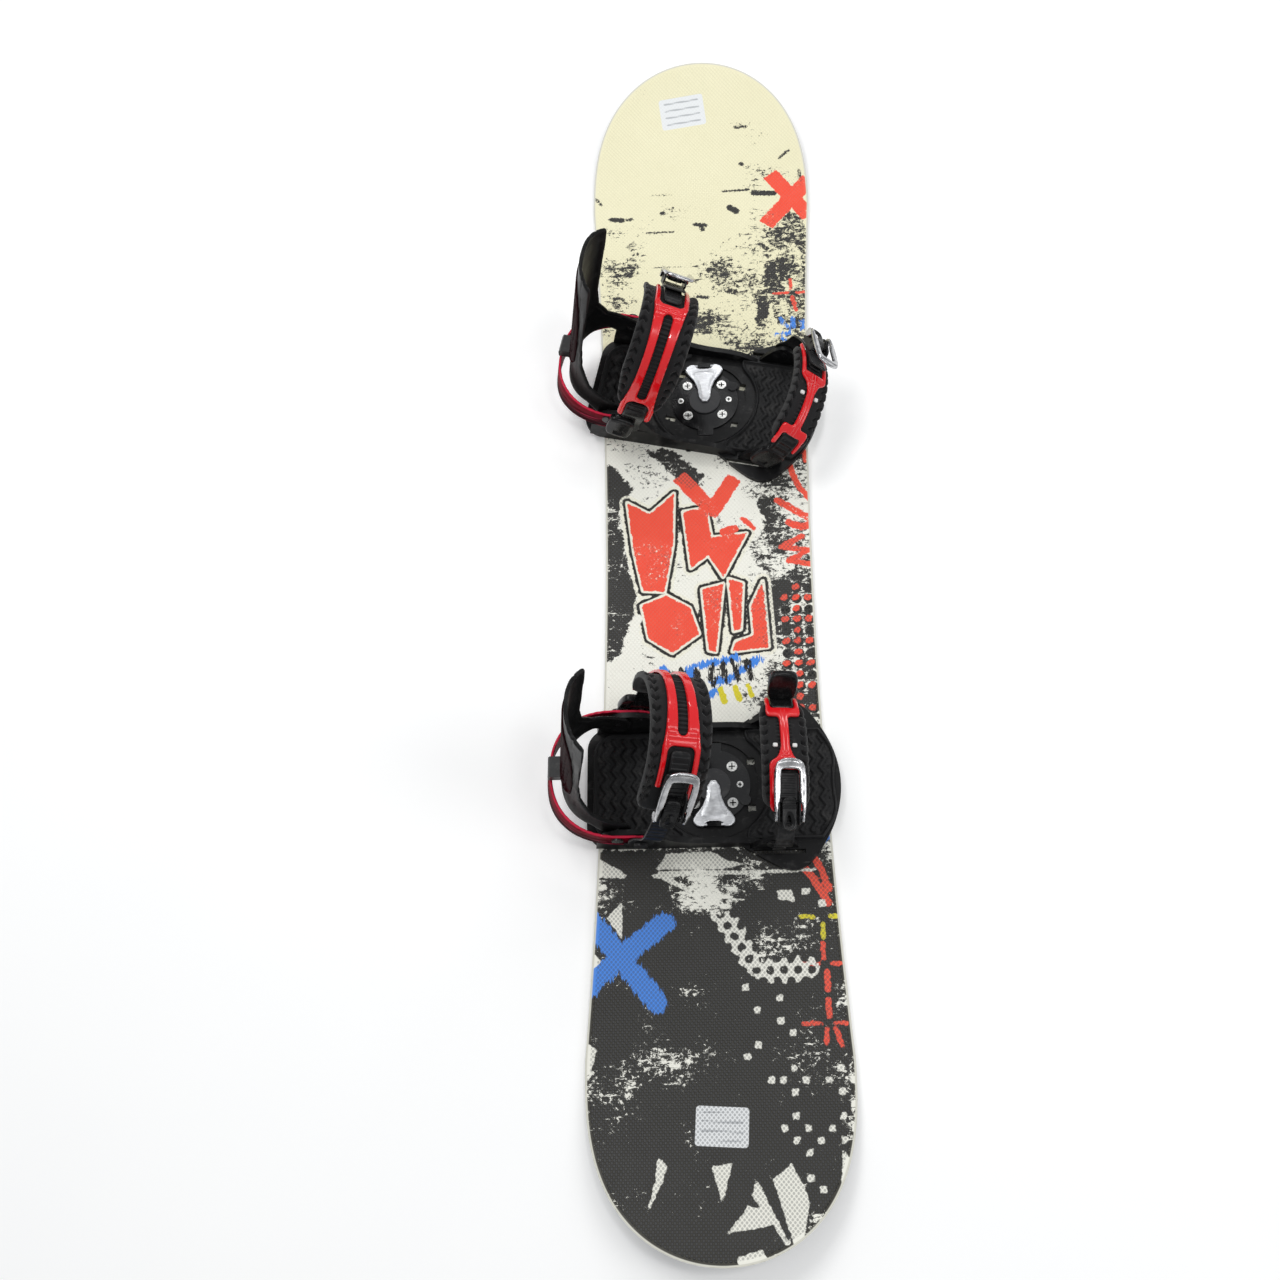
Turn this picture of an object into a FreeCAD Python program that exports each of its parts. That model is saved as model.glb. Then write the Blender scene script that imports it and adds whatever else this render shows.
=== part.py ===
import FreeCAD, Part
import math
import os

from FreeCAD import Matrix, Vector

# Snowboard with two ratchet-strap bindings, in millimetres.
# +X points across the board to the toe side, +Y along it to the nose, +Z up.
# The origin is the middle of the flat running base.

# ---- board ----------------------------------------------------------------
BOARD_LENGTH = 1420.0
WIDEST_WIDTH = 268.0
WAIST_WIDTH = 232.0
NOSE_LENGTH = 199.0         # from the widest point to the tip
TAIL_LENGTH = 191.0
NOSE_POWER = 2.85           # roundness of each end's outline
TAIL_POWER = 2.73
NOSE_RISE = 42.0
TAIL_RISE = 46.0
CONTACT_INSET = 20.0        # flat base ends this far inside the widest points
BASE_TOP = 1.8              # layer heights above the floor
CORE_TOP = 7.2
BOARD_TOP = 8.0
TIP_THINNING = 3.0          # the core is this much thinner at the tips
EDGE_WIDTH = 2.2
SIDEWALL_WIDTH = 7.0

# ---- insert and disc hardware ---------------------------------------------
STANCE_Y = {"front": 232.0, "rear": -238.0}
STANCE_TURN = {"front": -12.5, "rear": 0.0}
SCREW_GRID = 40.0           # 40 x 40 mm disc pattern
INSERT_RADIUS = 4.5
INSERT_FLANGE = 7.0
FLANGE_THICKNESS = 1.4
THREAD_RADIUS = 3.0
CLEARANCE = 0.3             # between pieces that move against each other
FIT = 0.05                  # radial play of a pin in its hole

# ---- binding, in its own frame: u to the toe, v to the outer side ---------
FLOOR_LOW = BOARD_TOP + 0.2
FLOOR_TOP = 14.0
HEEL_U = -134.0
TOE_U = 134.0
RAIL_V = 66.0               # outer face of the side walls
RAIL_INNER_V = 60.0
DISC_RADIUS = 39.0
DISC_TOP = 14.5
DISC_STEP = FLOOR_LOW + 3.0
BOSS_RADIUS = 33.0
CAP_RADIUS = 18.0
CAP_TOP = 16.6
TRIM_SCREW_U = 28.0
LEVER_HINGE_V = 44.2
LEVER_PIN_RADIUS = 1.6
LEVER_THICKNESS = 3.2
RING_INNER = 48.0
RING_OUTER = 58.0
RING_TOP = 15.0
HEEL_PAD_TOP = 19.0
TOE_PAD_TOP = 20.0
LOOP_THICKNESS = 3.0
LOOP_BACK_U = -174.0
LOOP_SCREW_U, LOOP_SCREW_Z = -88.0, 43.0
LOOP_SCREW_RADIUS = 2.5
HIGHBACK_PIVOT = (-98.0, 58.0)
HIGHBACK_THICKNESS = 3.5
ANKLE_PIVOT = (-74.0, 58.0)
HIGHBACK_LEAN = {"front": 2.0, "rear": 0.0}     # extra forward lean of each highback
PIN_RADIUS = 3.0
STRAP_V = 70.5              # inner face of a strap where it meets its bolt
EYE_THICKNESS = 3.0
LINK_OUTER_V = STRAP_V + EYE_THICKNESS

# ---- straps: where the bolt is, how far it leans and its arch (v, height) --
ANKLE_ARCH = {
    "front": [(-STRAP_V, 0), (-STRAP_V, 10), (-63, 57), (-44, 100), (0, 122), (45, 92), (65, 50),
              (STRAP_V, 10), (STRAP_V, 0)],
    "rear": [(-STRAP_V, 0), (-STRAP_V, 10), (-72, 55), (-60, 108), (-20, 128), (15, 121), (55, 72), (68, 38),
             (STRAP_V, 10), (STRAP_V, 0)],
}
ANKLE_LEAN = {"front": 18.0, "rear": 21.0}
TOE_ARCH = {
    "front": [(-STRAP_V, 0), (-STRAP_V, 8), (-63, 32), (-34, 53), (0, 58), (34, 49), (61, 27), (STRAP_V, 8),
              (STRAP_V, 0)],
    "rear": [(-STRAP_V, 0), (-STRAP_V, 8), (-67, 27), (-38, 43), (0, 47), (38, 43), (67, 27), (STRAP_V, 8),
             (STRAP_V, 0)],
}
TOE_LEAN = {"front": 40.0, "rear": 9.0}
TOE_PIVOT = {"front": (82.0, 36.0), "rear": (66.0, 38.0)}
PAD_THICKNESS = 9.0
FRAME_THICKNESS = 3.0
LADDER_THICKNESS = 2.4
TOOTH_PITCH = 5.0
BOLT_HEAD = 7.0
HINGE_X, HINGE_Z, HINGE_PIN = 20.0, 9.0, 1.6            # buckle lever's hinge in the buckle's own frame
RELEASE_X, RELEASE_Z, RELEASE_PIN = 5.0, 8.5, 1.5
ANKLE_PAD_HALF = 31.0
TOE_PAD_HALF = 24.0


# ---- small helpers --------------------------------------------------------
def export(shape, name):
    shape.exportStep("parts/" + name + ".step")


def spline(points, closed=False):
    curve = Part.BSplineCurve()
    curve.interpolate(Points=points, PeriodicFlag=closed)
    return curve


def polygon(points):
    return Part.makePolygon(points + [points[0]])


def prism(wire, direction):
    return Part.Face(wire).extrude(direction)


def box(u0, u1, v0, v1, z0, z1):
    return Part.makeBox(u1 - u0, v1 - v0, z1 - z0, Vector(u0, v0, z0))


def disc(radius, z0, z1, u=0.0, v=0.0):
    return Part.makeCylinder(radius, z1 - z0, Vector(u, v, z0))


def ring(inner, outer, z0, z1):
    return disc(outer, z0, z1).cut(disc(inner, z0 - 1, z1 + 1))


def cross_pin(radius, v0, v1, u, z):
    return Part.makeCylinder(radius, v1 - v0, Vector(u, v0, z), Vector(0, 1, 0))


def both_sides(shape):
    """A shape at +v together with its mirror image at -v."""
    return Part.makeCompound([shape, shape.mirror(Vector(0, 0, 0), Vector(0, 1, 0))])


def side_prism(points, v0, v1):
    """Extrudes a closed (u, z) outline from v0 to v1."""
    return prism(polygon([Vector(u, v0, z) for u, z in points]), Vector(0, v1 - v0, 0))


def soft_side_prism(points, v0, v1):
    """Like side_prism, with a smooth curve through all points but a straight last side."""
    curve = spline([Vector(u, v0, z) for u, z in points]).toShape()
    closing = Part.makeLine(Vector(points[-1][0], v0, points[-1][1]), Vector(points[0][0], v0, points[0][1]))
    return prism(Part.Wire([curve, closing]), Vector(0, v1 - v0, 0))


def fused(shapes):
    result = shapes[0]
    for shape in shapes[1:]:
        result = result.fuse(shape)
    return result.removeSplitter()


# ---- board ----------------------------------------------------------------
def widest_y():
    return BOARD_LENGTH / 2 - NOSE_LENGTH, -(BOARD_LENGTH / 2 - TAIL_LENGTH)


def half_outline():
    """Points down the +X side from the nose tip to the tail tip."""
    nose_y, tail_y = widest_y()
    middle = (nose_y + tail_y) / 2
    half_run = (nose_y - tail_y) / 2
    points = []
    for step in range(9):
        t = math.cos(math.radians(10 * step))
        points.append((WIDEST_WIDTH / 2 * math.sqrt(1 - t ** NOSE_POWER), nose_y + t * NOSE_LENGTH))
    for step in range(9):
        q = 0.9 - 1.8 * step / 8
        points.append(((WAIST_WIDTH + (WIDEST_WIDTH - WAIST_WIDTH) * q * q) / 2, middle + q * half_run))
    for step in range(8, -1, -1):
        t = math.cos(math.radians(10 * step))
        points.append((WIDEST_WIDTH / 2 * math.sqrt(1 - t ** TAIL_POWER), tail_y - t * TAIL_LENGTH))
    return points


def outline_curve(inset):
    right = half_outline()
    left = [(-x, y) for x, y in reversed(right[1:-1])]
    curve = spline([Vector(x, y, 0) for x, y in right + left], closed=True)
    if inset == 0:
        return curve
    samples = []
    count = 96
    for step in range(count):
        at = curve.FirstParameter + (curve.LastParameter - curve.FirstParameter) * step / count
        along = curve.tangent(at)[0]
        samples.append(curve.value(at) + Vector(along.y, -along.x, 0) * inset)
    return spline(samples, closed=True)


def outline_prism(inset):
    wire = Part.Wire([outline_curve(inset).toShape()])
    return prism(wire, Vector(0, 0, 200)).translate(Vector(0, 0, -50))


def tip_arc(contact, reach, height, rise):
    """Edge that curves up from the contact line to beyond the tip."""
    sign = 1 if reach > 0 else -1
    radius = (reach * reach + rise * rise) / (2 * rise)
    angle = math.asin((abs(reach) + 2) / radius)

    def at(turn):
        return Vector(0, contact + sign * radius * math.sin(turn), height + radius - radius * math.cos(turn))

    return at(0), at(angle / 2), at(angle)


def profile(height, thinning):
    """Edges of one layer surface from the tail end to the nose end."""
    nose_y, tail_y = widest_y()
    nose = tip_arc(nose_y - CONTACT_INSET, NOSE_LENGTH + CONTACT_INSET, height, NOSE_RISE - thinning)
    tail = tip_arc(tail_y + CONTACT_INSET, -TAIL_LENGTH - CONTACT_INSET, height, TAIL_RISE - thinning)
    return [Part.Arc(tail[2], tail[1], tail[0]).toShape(), Part.makeLine(tail[0], nose[0]),
            Part.Arc(nose[0], nose[1], nose[2]).toShape()]


def layer(low, high, low_thinning, high_thinning):
    bottom = profile(low, low_thinning)
    top = profile(high, high_thinning)
    ends = [Part.makeLine(bottom[0].valueAt(bottom[0].FirstParameter), top[0].valueAt(top[0].FirstParameter)),
            Part.makeLine(bottom[2].valueAt(bottom[2].LastParameter), top[2].valueAt(top[2].LastParameter))]
    wire = Part.Wire(Part.__sortEdges__(bottom + top + ends))
    half = WIDEST_WIDTH
    return prism(wire, Vector(2 * half, 0, 0)).translate(Vector(-half, 0, 0))


def in_lengths(layer_solid, flat_lengths):
    """A board layer as abutting lengths: the flat part in flat_lengths, and each upturned end in three."""
    nose_y, tail_y = widest_y()
    nose_start, tail_start = nose_y - CONTACT_INSET, tail_y + CONTACT_INSET
    cuts = [tail_start - (TAIL_LENGTH + CONTACT_INSET + 1) * k / 3 for k in (3, 2, 1)]
    cuts += [tail_start + (nose_start - tail_start) * k / flat_lengths for k in range(flat_lengths + 1)]
    cuts += [nose_start + (NOSE_LENGTH + CONTACT_INSET + 1) * k / 3 for k in (1, 2, 3)]
    half = WIDEST_WIDTH
    return Part.makeCompound([solid for y0, y1 in zip(cuts, cuts[1:])
                              for solid in layer_solid.common(box(-half, half, y0, y1, -1, 90)).Solids])


def insert_places():
    """Four rows of two threaded inserts under each binding, 40 mm apart."""
    return [(x * SCREW_GRID / 2, STANCE_Y[end] + row * SCREW_GRID)
            for end in STANCE_Y for x in (-1, 1) for row in (-1.5, -0.5, 0.5, 1.5)]


def make_board():
    at_base = layer(0, BASE_TOP, 0, 0)
    at_core = layer(BASE_TOP, CORE_TOP, 0, TIP_THINNING)
    at_top = layer(CORE_TOP, BOARD_TOP, TIP_THINNING, TIP_THINNING)
    outer = outline_prism(0)
    inside_edge, inside_wall = outline_prism(EDGE_WIDTH), outline_prism(SIDEWALL_WIDTH)
    places = insert_places()
    flange_top = BASE_TOP + FLANGE_THICKNESS
    pockets = Part.makeCompound([
        disc(INSERT_RADIUS, BASE_TOP, BOARD_TOP + 1, x, y)
        .fuse(disc(INSERT_FLANGE, BASE_TOP, flange_top, x, y)) for x, y in places])
    mouths = Part.makeCompound([disc(INSERT_RADIUS, CORE_TOP - 1, BOARD_TOP + 1, x, y) for x, y in places])
    export(in_lengths(at_base.common(inside_edge), 1), "board_base_sheet")
    export(in_lengths(at_base.common(outer).cut(inside_edge), 4), "board_steel_edge")
    export(in_lengths(at_core.common(inside_wall).cut(pockets), 4), "board_core")
    export(in_lengths(at_core.common(outer).cut(inside_wall), 4), "board_sidewall")
    export(at_top.common(outer).cut(mouths), "board_topsheet")
    inserts = [
        disc(INSERT_RADIUS, BASE_TOP, BOARD_TOP, x, y).fuse(disc(INSERT_FLANGE, BASE_TOP, flange_top, x, y))
        .cut(disc(THREAD_RADIUS, BASE_TOP + 0.8, BOARD_TOP + 1, x, y)).removeSplitter() for x, y in places]
    export(Part.makeCompound(inserts), "board_inserts")


# ---- mounting discs, fixed to the board -----------------------------------
def disc_solid():
    shoulder = DISC_STEP + 0.4
    body = fused([disc(BOSS_RADIUS, BOARD_TOP, shoulder), disc(DISC_RADIUS, shoulder, DISC_TOP)])
    hinge_arm = box(-9, 9, DISC_RADIUS - 4, RING_INNER - 1.5, DISC_TOP - 1.8, DISC_TOP)
    claw = box(-9, 9, -RING_INNER + 1.5, -DISC_RADIUS + 4, DISC_TOP - 1.8, DISC_TOP)
    body = fused([body, hinge_arm, claw, disc(6, DISC_TOP - 1, DISC_TOP + 1.6, 33, 17)])
    for u in (-SCREW_GRID / 2, SCREW_GRID / 2):
        for v in (-SCREW_GRID / 2, SCREW_GRID / 2):
            body = body.cut(disc(THREAD_RADIUS + 0.3, 0, 20, u, v)).cut(disc(6, DISC_TOP - 2.5, 20, u, v))
        sign = 1 if u > 0 else -1
        body = body.cut(disc(3.6, DISC_TOP - 1.5, 20, sign * TRIM_SCREW_U, 0))
    return body


def lever_pin(radius, half):
    z = CAP_TOP + CLEARANCE + LEVER_THICKNESS / 2
    return Part.makeCylinder(radius, 2 * half, Vector(-half, LEVER_HINGE_V, z), Vector(1, 0, 0))


def lever_solid():
    """Y-shaped release lever: a narrow end at the middle and a forked end at its hinge."""
    z0 = CAP_TOP + CLEARANCE
    right = [(6, -4), (9, 20), (22, 36), (22, 42), (17, 46.4), (10, 46.4), (8, 40.5)]
    outline = right + [(-u, v) for u, v in reversed(right)]
    stem = prism(polygon([Vector(u, v, z0) for u, v in outline]), Vector(0, 0, LEVER_THICKNESS))
    return fused([stem, lever_pin(LEVER_PIN_RADIUS, 11)])


def knuckle():
    """Block between the lever's prongs that holds its hinge pin."""
    top = CAP_TOP + CLEARANCE + LEVER_THICKNESS + 0.2
    block = box(-7.5, 7.5, LEVER_HINGE_V - 2.6, LEVER_HINGE_V + 2.1, DISC_TOP - 1.8, top)
    return block.cut(lever_pin(LEVER_PIN_RADIUS + FIT, 20))


def screw(u, v, low, head_low, radius, head_radius, head_height):
    body = disc(radius, low, head_low, u, v).fuse(disc(head_radius, head_low, head_low + head_height, u, v))
    reach = head_radius * 0.6
    slot = box(u - reach, u + reach, v - 0.7, v + 0.7, head_low + head_height - 1.4, 30)
    cross = slot.copy()
    cross.rotate(Vector(u, v, 0), Vector(0, 0, 1), 90)
    return body.cut(slot).cut(cross).removeSplitter()


def make_discs():
    mounting, trim, caps = [], [], []
    for end in STANCE_Y:
        shift = Vector(0, STANCE_Y[end], 0)
        outer = 1 if end == "front" else -1

        def put(shape):
            if outer < 0:
                shape = shape.mirror(Vector(0, 0, 0), Vector(0, 1, 0))
            return shape.translate(shift)

        export(put(fused([disc_solid(), knuckle()])), end + "_disc")
        export(put(lever_solid()), end + "_disc_lever")
        half = SCREW_GRID / 2
        mounting += [put(screw(u, v, BASE_TOP + 1.2, DISC_TOP - 2.5, THREAD_RADIUS - 0.05, 5.6, 3.4))
                     for u in (-half, half) for v in (-half, half)]
        trim += [put(screw(u, 0, DISC_TOP - 1.5, DISC_TOP - 1.2, 3.0, 3.5, 1.8))
                 for u in (-TRIM_SCREW_U, TRIM_SCREW_U)]
        caps.append(put(disc(CAP_RADIUS, DISC_TOP, CAP_TOP)))
    export(Part.makeCompound(mounting), "disc_mounting_screws")
    export(Part.makeCompound(trim), "disc_trim_screws")
    export(Part.makeCompound(caps), "disc_caps")


# ---- one binding ----------------------------------------------------------
def place(shape, end):
    """Takes a shape from a binding's own frame to the board."""
    if end == "rear":
        shape = shape.mirror(Vector(0, 0, 0), Vector(0, 1, 0))
    shape = shape.copy()
    shape.rotate(Vector(0, 0, 0), Vector(0, 0, 1), STANCE_TURN[end])
    return shape.translate(Vector(0, STANCE_Y[end], 0))


def plate_wire(z, inset=0.0):
    """Baseplate outline: squared heel with round corners, flared round toe."""
    side = RAIL_V - inset
    heel = HEEL_U + inset
    toe_points = [(28, side), (56, 83 - inset), (86, 92 - inset), (112, 68 - inset), (128, 36 - inset / 2),
                  (TOE_U - inset, 0)]
    toe = [Vector(u, v, z) for u, v in toe_points]
    toe += [Vector(u, -v, z) for u, v in reversed(toe_points[:-1])]
    corner = 24.0
    edges = [spline(toe).toShape(), Part.makeLine(toe[-1], Vector(heel + corner, -side, z))]
    dip = corner * (1 - math.sqrt(0.5))
    edges.append(Part.Arc(Vector(heel + corner, -side, z), Vector(heel + dip, -side + dip, z),
                          Vector(heel, -side + corner, z)).toShape())
    edges.append(Part.makeLine(Vector(heel, -side + corner, z), Vector(heel, side - corner, z)))
    edges.append(Part.Arc(Vector(heel, side - corner, z), Vector(heel + dip, side - dip, z),
                          Vector(heel + corner, side, z)).toShape())
    edges.append(Part.makeLine(Vector(heel + corner, side, z), toe[0]))
    return Part.Wire(edges)


def side_wall():
    """Side wall that carries the highback pivot and the ankle strap bolt."""
    crest = [(-124, FLOOR_TOP - 1), (-120, 34), (-110, 56), (-96, 64), (-76, 65), (-61, 59), (-44, 38),
             (-10, 27), (30, 25), (52, FLOOR_TOP - 1)]
    return soft_side_prism(crest, RAIL_INNER_V, RAIL_V)


def toe_ear(end):
    """Upright beside the toe slot that holds the toe strap bolt."""
    u, z = TOE_PIVOT[end]
    crest = [(u - 30, FLOOR_TOP - 1), (u - 14, z), (u, z + 9), (u + 12, z), (u + 20, FLOOR_TOP - 1)]
    return soft_side_prism(crest, RAIL_V - 1.5, STRAP_V - 1.0)


def make_baseplate(end):
    floor = prism(plate_wire(FLOOR_LOW), Vector(0, 0, FLOOR_TOP - FLOOR_LOW))
    walls = [side_wall(), side_wall().mirror(Vector(0, 0, 0), Vector(0, 1, 0))]
    ears = [toe_ear(end), toe_ear(end).mirror(Vector(0, 0, 0), Vector(0, 1, 0))]
    body = fused([floor] + walls + ears + [ring(RING_INNER, RING_OUTER, FLOOR_LOW, RING_TOP)])
    body = body.cut(disc(BOSS_RADIUS + CLEARANCE, 0, 30)).cut(disc(DISC_RADIUS + CLEARANCE, DISC_STEP, 30))
    body = body.cut(ring(DISC_RADIUS - 2, RING_INNER, DISC_TOP - 2.1, 30))
    slot_u, slot_v = 40.0, STRAP_V + 0.2            # long slots that the toe strap's bolt can slide along
    slots = both_sides(box(slot_u, slot_u + 54, slot_v, slot_v + 4.6, 0, 60))
    windows = both_sides(box(-41, -29, 27, 33, 0, 60)).fuse(both_sides(box(36, 44, 22, 29, 0, 60)))
    body = body.cut(slots).cut(windows)
    for u, z in (HIGHBACK_PIVOT, ANKLE_PIVOT, TOE_PIVOT[end]):
        body = body.cut(cross_pin(PIN_RADIUS + FIT, -100, 100, u, z))
    body = body.cut(cross_pin(LOOP_SCREW_RADIUS + FIT, -100, 100, LOOP_SCREW_U, LOOP_SCREW_Z))
    return body.cut(heel_band()).removeSplitter()


def pad_between(u_limit, top, side):
    """Footbed pad: the part of the inset plate beyond a circular arc around the disc."""
    low = FLOOR_TOP
    wire = plate_wire(low, 7.0)
    u0, u1 = sorted((u_limit, side * 200))
    solid = prism(wire, Vector(0, 0, top - low)).common(box(u0, u1, -90, 90, low, top))
    return solid.cut(disc(RING_OUTER + 2, low - 1, top + 1))


def heel_pad():
    inside = box(-130, 0, -RAIL_INNER_V + 2, RAIL_INNER_V - 2, 0, 40)
    return pad_between(-26, HEEL_PAD_TOP, -1).common(inside)


def toe_pad():
    limit = RAIL_V - 6
    inside = box(20, 130, -limit, limit, 0, 40)
    return pad_between(34, TOE_PAD_TOP, 1).common(inside)


def u_curve(back_u, half, z, start_u, bend_u, power=2.4):
    """Open U in plan: straight arms that join a rounded back."""
    points = [Vector(start_u, half, z)]
    for step in range(0, 13):
        turn = math.radians(15 * step - 90)
        c, s = math.cos(turn), -math.sin(turn)
        points.append(Vector(bend_u + (back_u - bend_u) * abs(c) ** (2 / power),
                             half * math.copysign(abs(s) ** (2 / power), s), z))
    points.append(Vector(start_u, -half, z))
    return spline(points)


def u_wire(back_u, half, z, start_u, bend_u, thickness, power=2.4):
    outer = u_curve(back_u, half, z, start_u, bend_u, power).toShape()
    inner = u_curve(back_u + thickness, half - thickness, z, start_u, bend_u, power).toShape()
    caps = [Part.makeLine(Vector(start_u, side * half, z), Vector(start_u, side * (half - thickness), z))
            for side in (1, -1)]
    return Part.Wire(Part.__sortEdges__([outer, inner] + caps))


def heel_band():
    half = RAIL_V + LOOP_THICKNESS
    low = u_wire(LOOP_BACK_U, half, 36, -50, -96, LOOP_THICKNESS, 2.3)
    high = u_wire(LOOP_BACK_U + 8, half, 82, -50, -96, LOOP_THICKNESS, 2.3)
    return Part.makeLoft([low, high], True, True)


def heel_loop():
    """Glossy band around the heel, leaning out towards its lower edge."""
    outline = [(-62, 50), (-66, 38), (-90, 37), (-120, 40), (-145, 40), (-180, 37), (-180, 80), (-160, 78),
               (-130, 70), (-100, 65), (-75, 65), (-64, 60)]
    band = heel_band().common(side_prism(outline, -90, 90))
    for u, z in (HIGHBACK_PIVOT, ANKLE_PIVOT):
        band = band.cut(cross_pin(PIN_RADIUS + FIT, -100, 100, u, z))
    return band.cut(cross_pin(LOOP_SCREW_RADIUS + FIT, -100, 100, LOOP_SCREW_U, LOOP_SCREW_Z))


def highback_band(grow, thickness):
    """Curved plate that narrows and leans forward as it rises."""
    low = u_wire(-159 - grow, 59 + grow, 40, -80, -96, thickness)
    high = u_wire(-129.5 - grow, 52.4 + grow, 274, -53.8, -67.6, thickness)
    return Part.makeLoft([low, high], True, True)


def highback_shell():
    side = [(-87, 47), (-84, 58), (-88, 70), (-104, 80), (-122, 92), (-131, 118), (-130, 150), (-124, 190),
            (-116, 240), (-112, 272), (-175, 272), (-175, 60), (-125, 60), (-112, 47)]
    plate = highback_band(0, HIGHBACK_THICKNESS).common(side_prism(side, -80, 80))
    crown = [(-80, 40), (-78, 120), (-68, 205), (-56, 246), (-32, 267), (0, 272)]
    crown += [(-v, z) for v, z in reversed(crown[:-1])]
    rim = spline([Vector(-200, v, z) for v, z in crown]).toShape()
    floor = Part.makeLine(Vector(-200, crown[-1][0], 40), Vector(-200, crown[0][0], 40))
    plate = plate.common(prism(Part.Wire([rim, floor]), Vector(200, 0, 0)))
    return plate.cut(cross_pin(PIN_RADIUS + FIT, -100, 100, *HIGHBACK_PIVOT))


def highback_panel():
    """Glossy stiffener on the back of the highback."""
    band = highback_band(1.8, 1.7)
    window = [Vector(-200, -34, 92), Vector(-200, -38, 150), Vector(-200, -30, 246), Vector(-200, 30, 246),
              Vector(-200, 38, 150), Vector(-200, 34, 92)]
    return band.common(prism(polygon(window), Vector(80, 0, 0)))


def lean_adjuster():
    """Block that slides in the highback and rests on the heel loop."""
    outline = [(-167, 80.5), (-167, 88), (-160, 100), (-150, 100), (-150, 80.5)]
    block = side_prism(outline, -11, 11)
    return block.cut(highback_band(0.1, 40)).cut(box(-200, -100, -20, 20, 91.5, 200))


def cross_bolt(radius, inner_v, outer_v, head_radius, head, u, z):
    shank = cross_pin(radius, inner_v, outer_v, u, z)
    return fused([shank, cross_pin(head_radius, outer_v, outer_v + head, u, z)])


def frame_screws():
    pivot = cross_bolt(PIN_RADIUS, 54.0, RAIL_V, 3.0, LOOP_THICKNESS + 0.2, *HIGHBACK_PIVOT)
    pivot = fused([pivot, cross_pin(6.0, 69.2, 71.0, *HIGHBACK_PIVOT)])
    clamp = cross_bolt(LOOP_SCREW_RADIUS, RAIL_INNER_V, RAIL_V + LOOP_THICKNESS, 5.0, 1.2,
                       LOOP_SCREW_U, LOOP_SCREW_Z)
    return Part.makeCompound([both_sides(pivot), both_sides(clamp)])


def strap_bolts(end):
    ankle = cross_bolt(PIN_RADIUS, RAIL_INNER_V - 1, LINK_OUTER_V + CLEARANCE, BOLT_HEAD, 3.0, *ANKLE_PIVOT)
    toe = cross_bolt(PIN_RADIUS, RAIL_V - 3, LINK_OUTER_V + CLEARANCE, BOLT_HEAD, 3.0, *TOE_PIVOT[end])
    return Part.makeCompound([both_sides(ankle), both_sides(toe)])


# ---- straps ---------------------------------------------------------------
class Strap:
    """Arch of a strap, drawn upright (X across its width, Y = v, Z = height) over its bolt."""

    def __init__(self, points, lean, pivot):
        self.curve = spline([Vector(0, v, s) for v, s in points])
        self.length = self.curve.length()
        self.lean = lean
        self.pivot = pivot

    def at(self, run):
        return self.curve.parameterAtDistance(min(max(run, 0.0), self.length), self.curve.FirstParameter)

    def point(self, run, lift):
        here = self.at(run)
        along = self.curve.tangent(here)[0]
        return self.curve.value(here) + Vector(0, -along.z, along.y) * lift

    def band(self, run0, run1, half, lift0, lift1, centre=0.0):
        """Bent plate from run0 to run1 between two heights (numbers or functions of the run)."""
        def value(lift, run):
            return lift(run) if callable(lift) else lift

        count = max(8, int((run1 - run0) / 12))
        runs = [run0 + (run1 - run0) * i / count for i in range(count + 1)]
        inner = [self.point(r, value(lift0, r)) for r in runs]
        outer = [self.point(r, value(lift1, r)) for r in runs]
        edges = [spline(inner).toShape(), Part.makeLine(inner[-1], outer[-1]),
                 spline(outer[::-1]).toShape(), Part.makeLine(outer[0], inner[0])]
        return prism(Part.Wire(edges), Vector(2 * half, 0, 0)).translate(Vector(centre - half, 0, 0))

    def eye(self, side, radius):
        """Round end of a strap at its bolt, with the bolt's hole."""
        v0 = STRAP_V if side > 0 else -LINK_OUTER_V
        return Part.makeCylinder(radius, EYE_THICKNESS, Vector(0, v0, 0), Vector(0, 1, 0))

    def drill(self, shape):
        return shape.cut(Part.makeCylinder(PIN_RADIUS + FIT, 200, Vector(0, -100, 0), Vector(0, 1, 0)))

    def seat(self, shape):
        """Leans the finished piece about its bolt and sets it on the binding."""
        shape = shape.copy()
        shape.rotate(Vector(0, 0, 0), Vector(0, 1, 0), self.lean)
        return shape.translate(Vector(self.pivot[0], 0, self.pivot[1]))

    def tangent_matrix(self, run, lift, tilt=0.0):
        """Frame at a run: x along the strap to its outer end, y across, z outwards."""
        here = self.at(run)
        x = self.curve.tangent(here)[0]
        z = Vector(0, -x.z, x.y)
        c, s = math.cos(math.radians(tilt)), math.sin(math.radians(tilt))
        x, z = x * c + z * s, z * c - x * s
        y = z.cross(x)
        o = self.point(run, lift)
        return Matrix(x.x, y.x, z.x, o.x, x.y, y.y, z.y, o.y, x.z, y.z, z.z, o.z, 0, 0, 0, 1)


def rising(run_flat, low, high):
    """Lift that stays low beside the bolt's head, then grows smoothly to high at run_flat."""
    def lift(run):
        t = min(max((run - BOLT_HEAD) / (run_flat - BOLT_HEAD), 0.0), 1.0)
        return low + (high - low) * t * t * (3 - 2 * t)
    return lift


def falling(total, run_flat, low, high):
    climb = rising(run_flat, low, high)
    return lambda run: climb(total - run)


def tapered(shape, half, foot_half, foot_height, full_height):
    """Narrows a band towards its lower ends, seen along the bolt axis."""
    outline = [(-foot_half, -20), (-foot_half, foot_height), (-half, full_height), (-half, 220),
               (half, 220), (half, full_height), (foot_half, foot_height), (foot_half, -20)]
    return shape.common(side_prism(outline, -120, 120))


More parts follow.
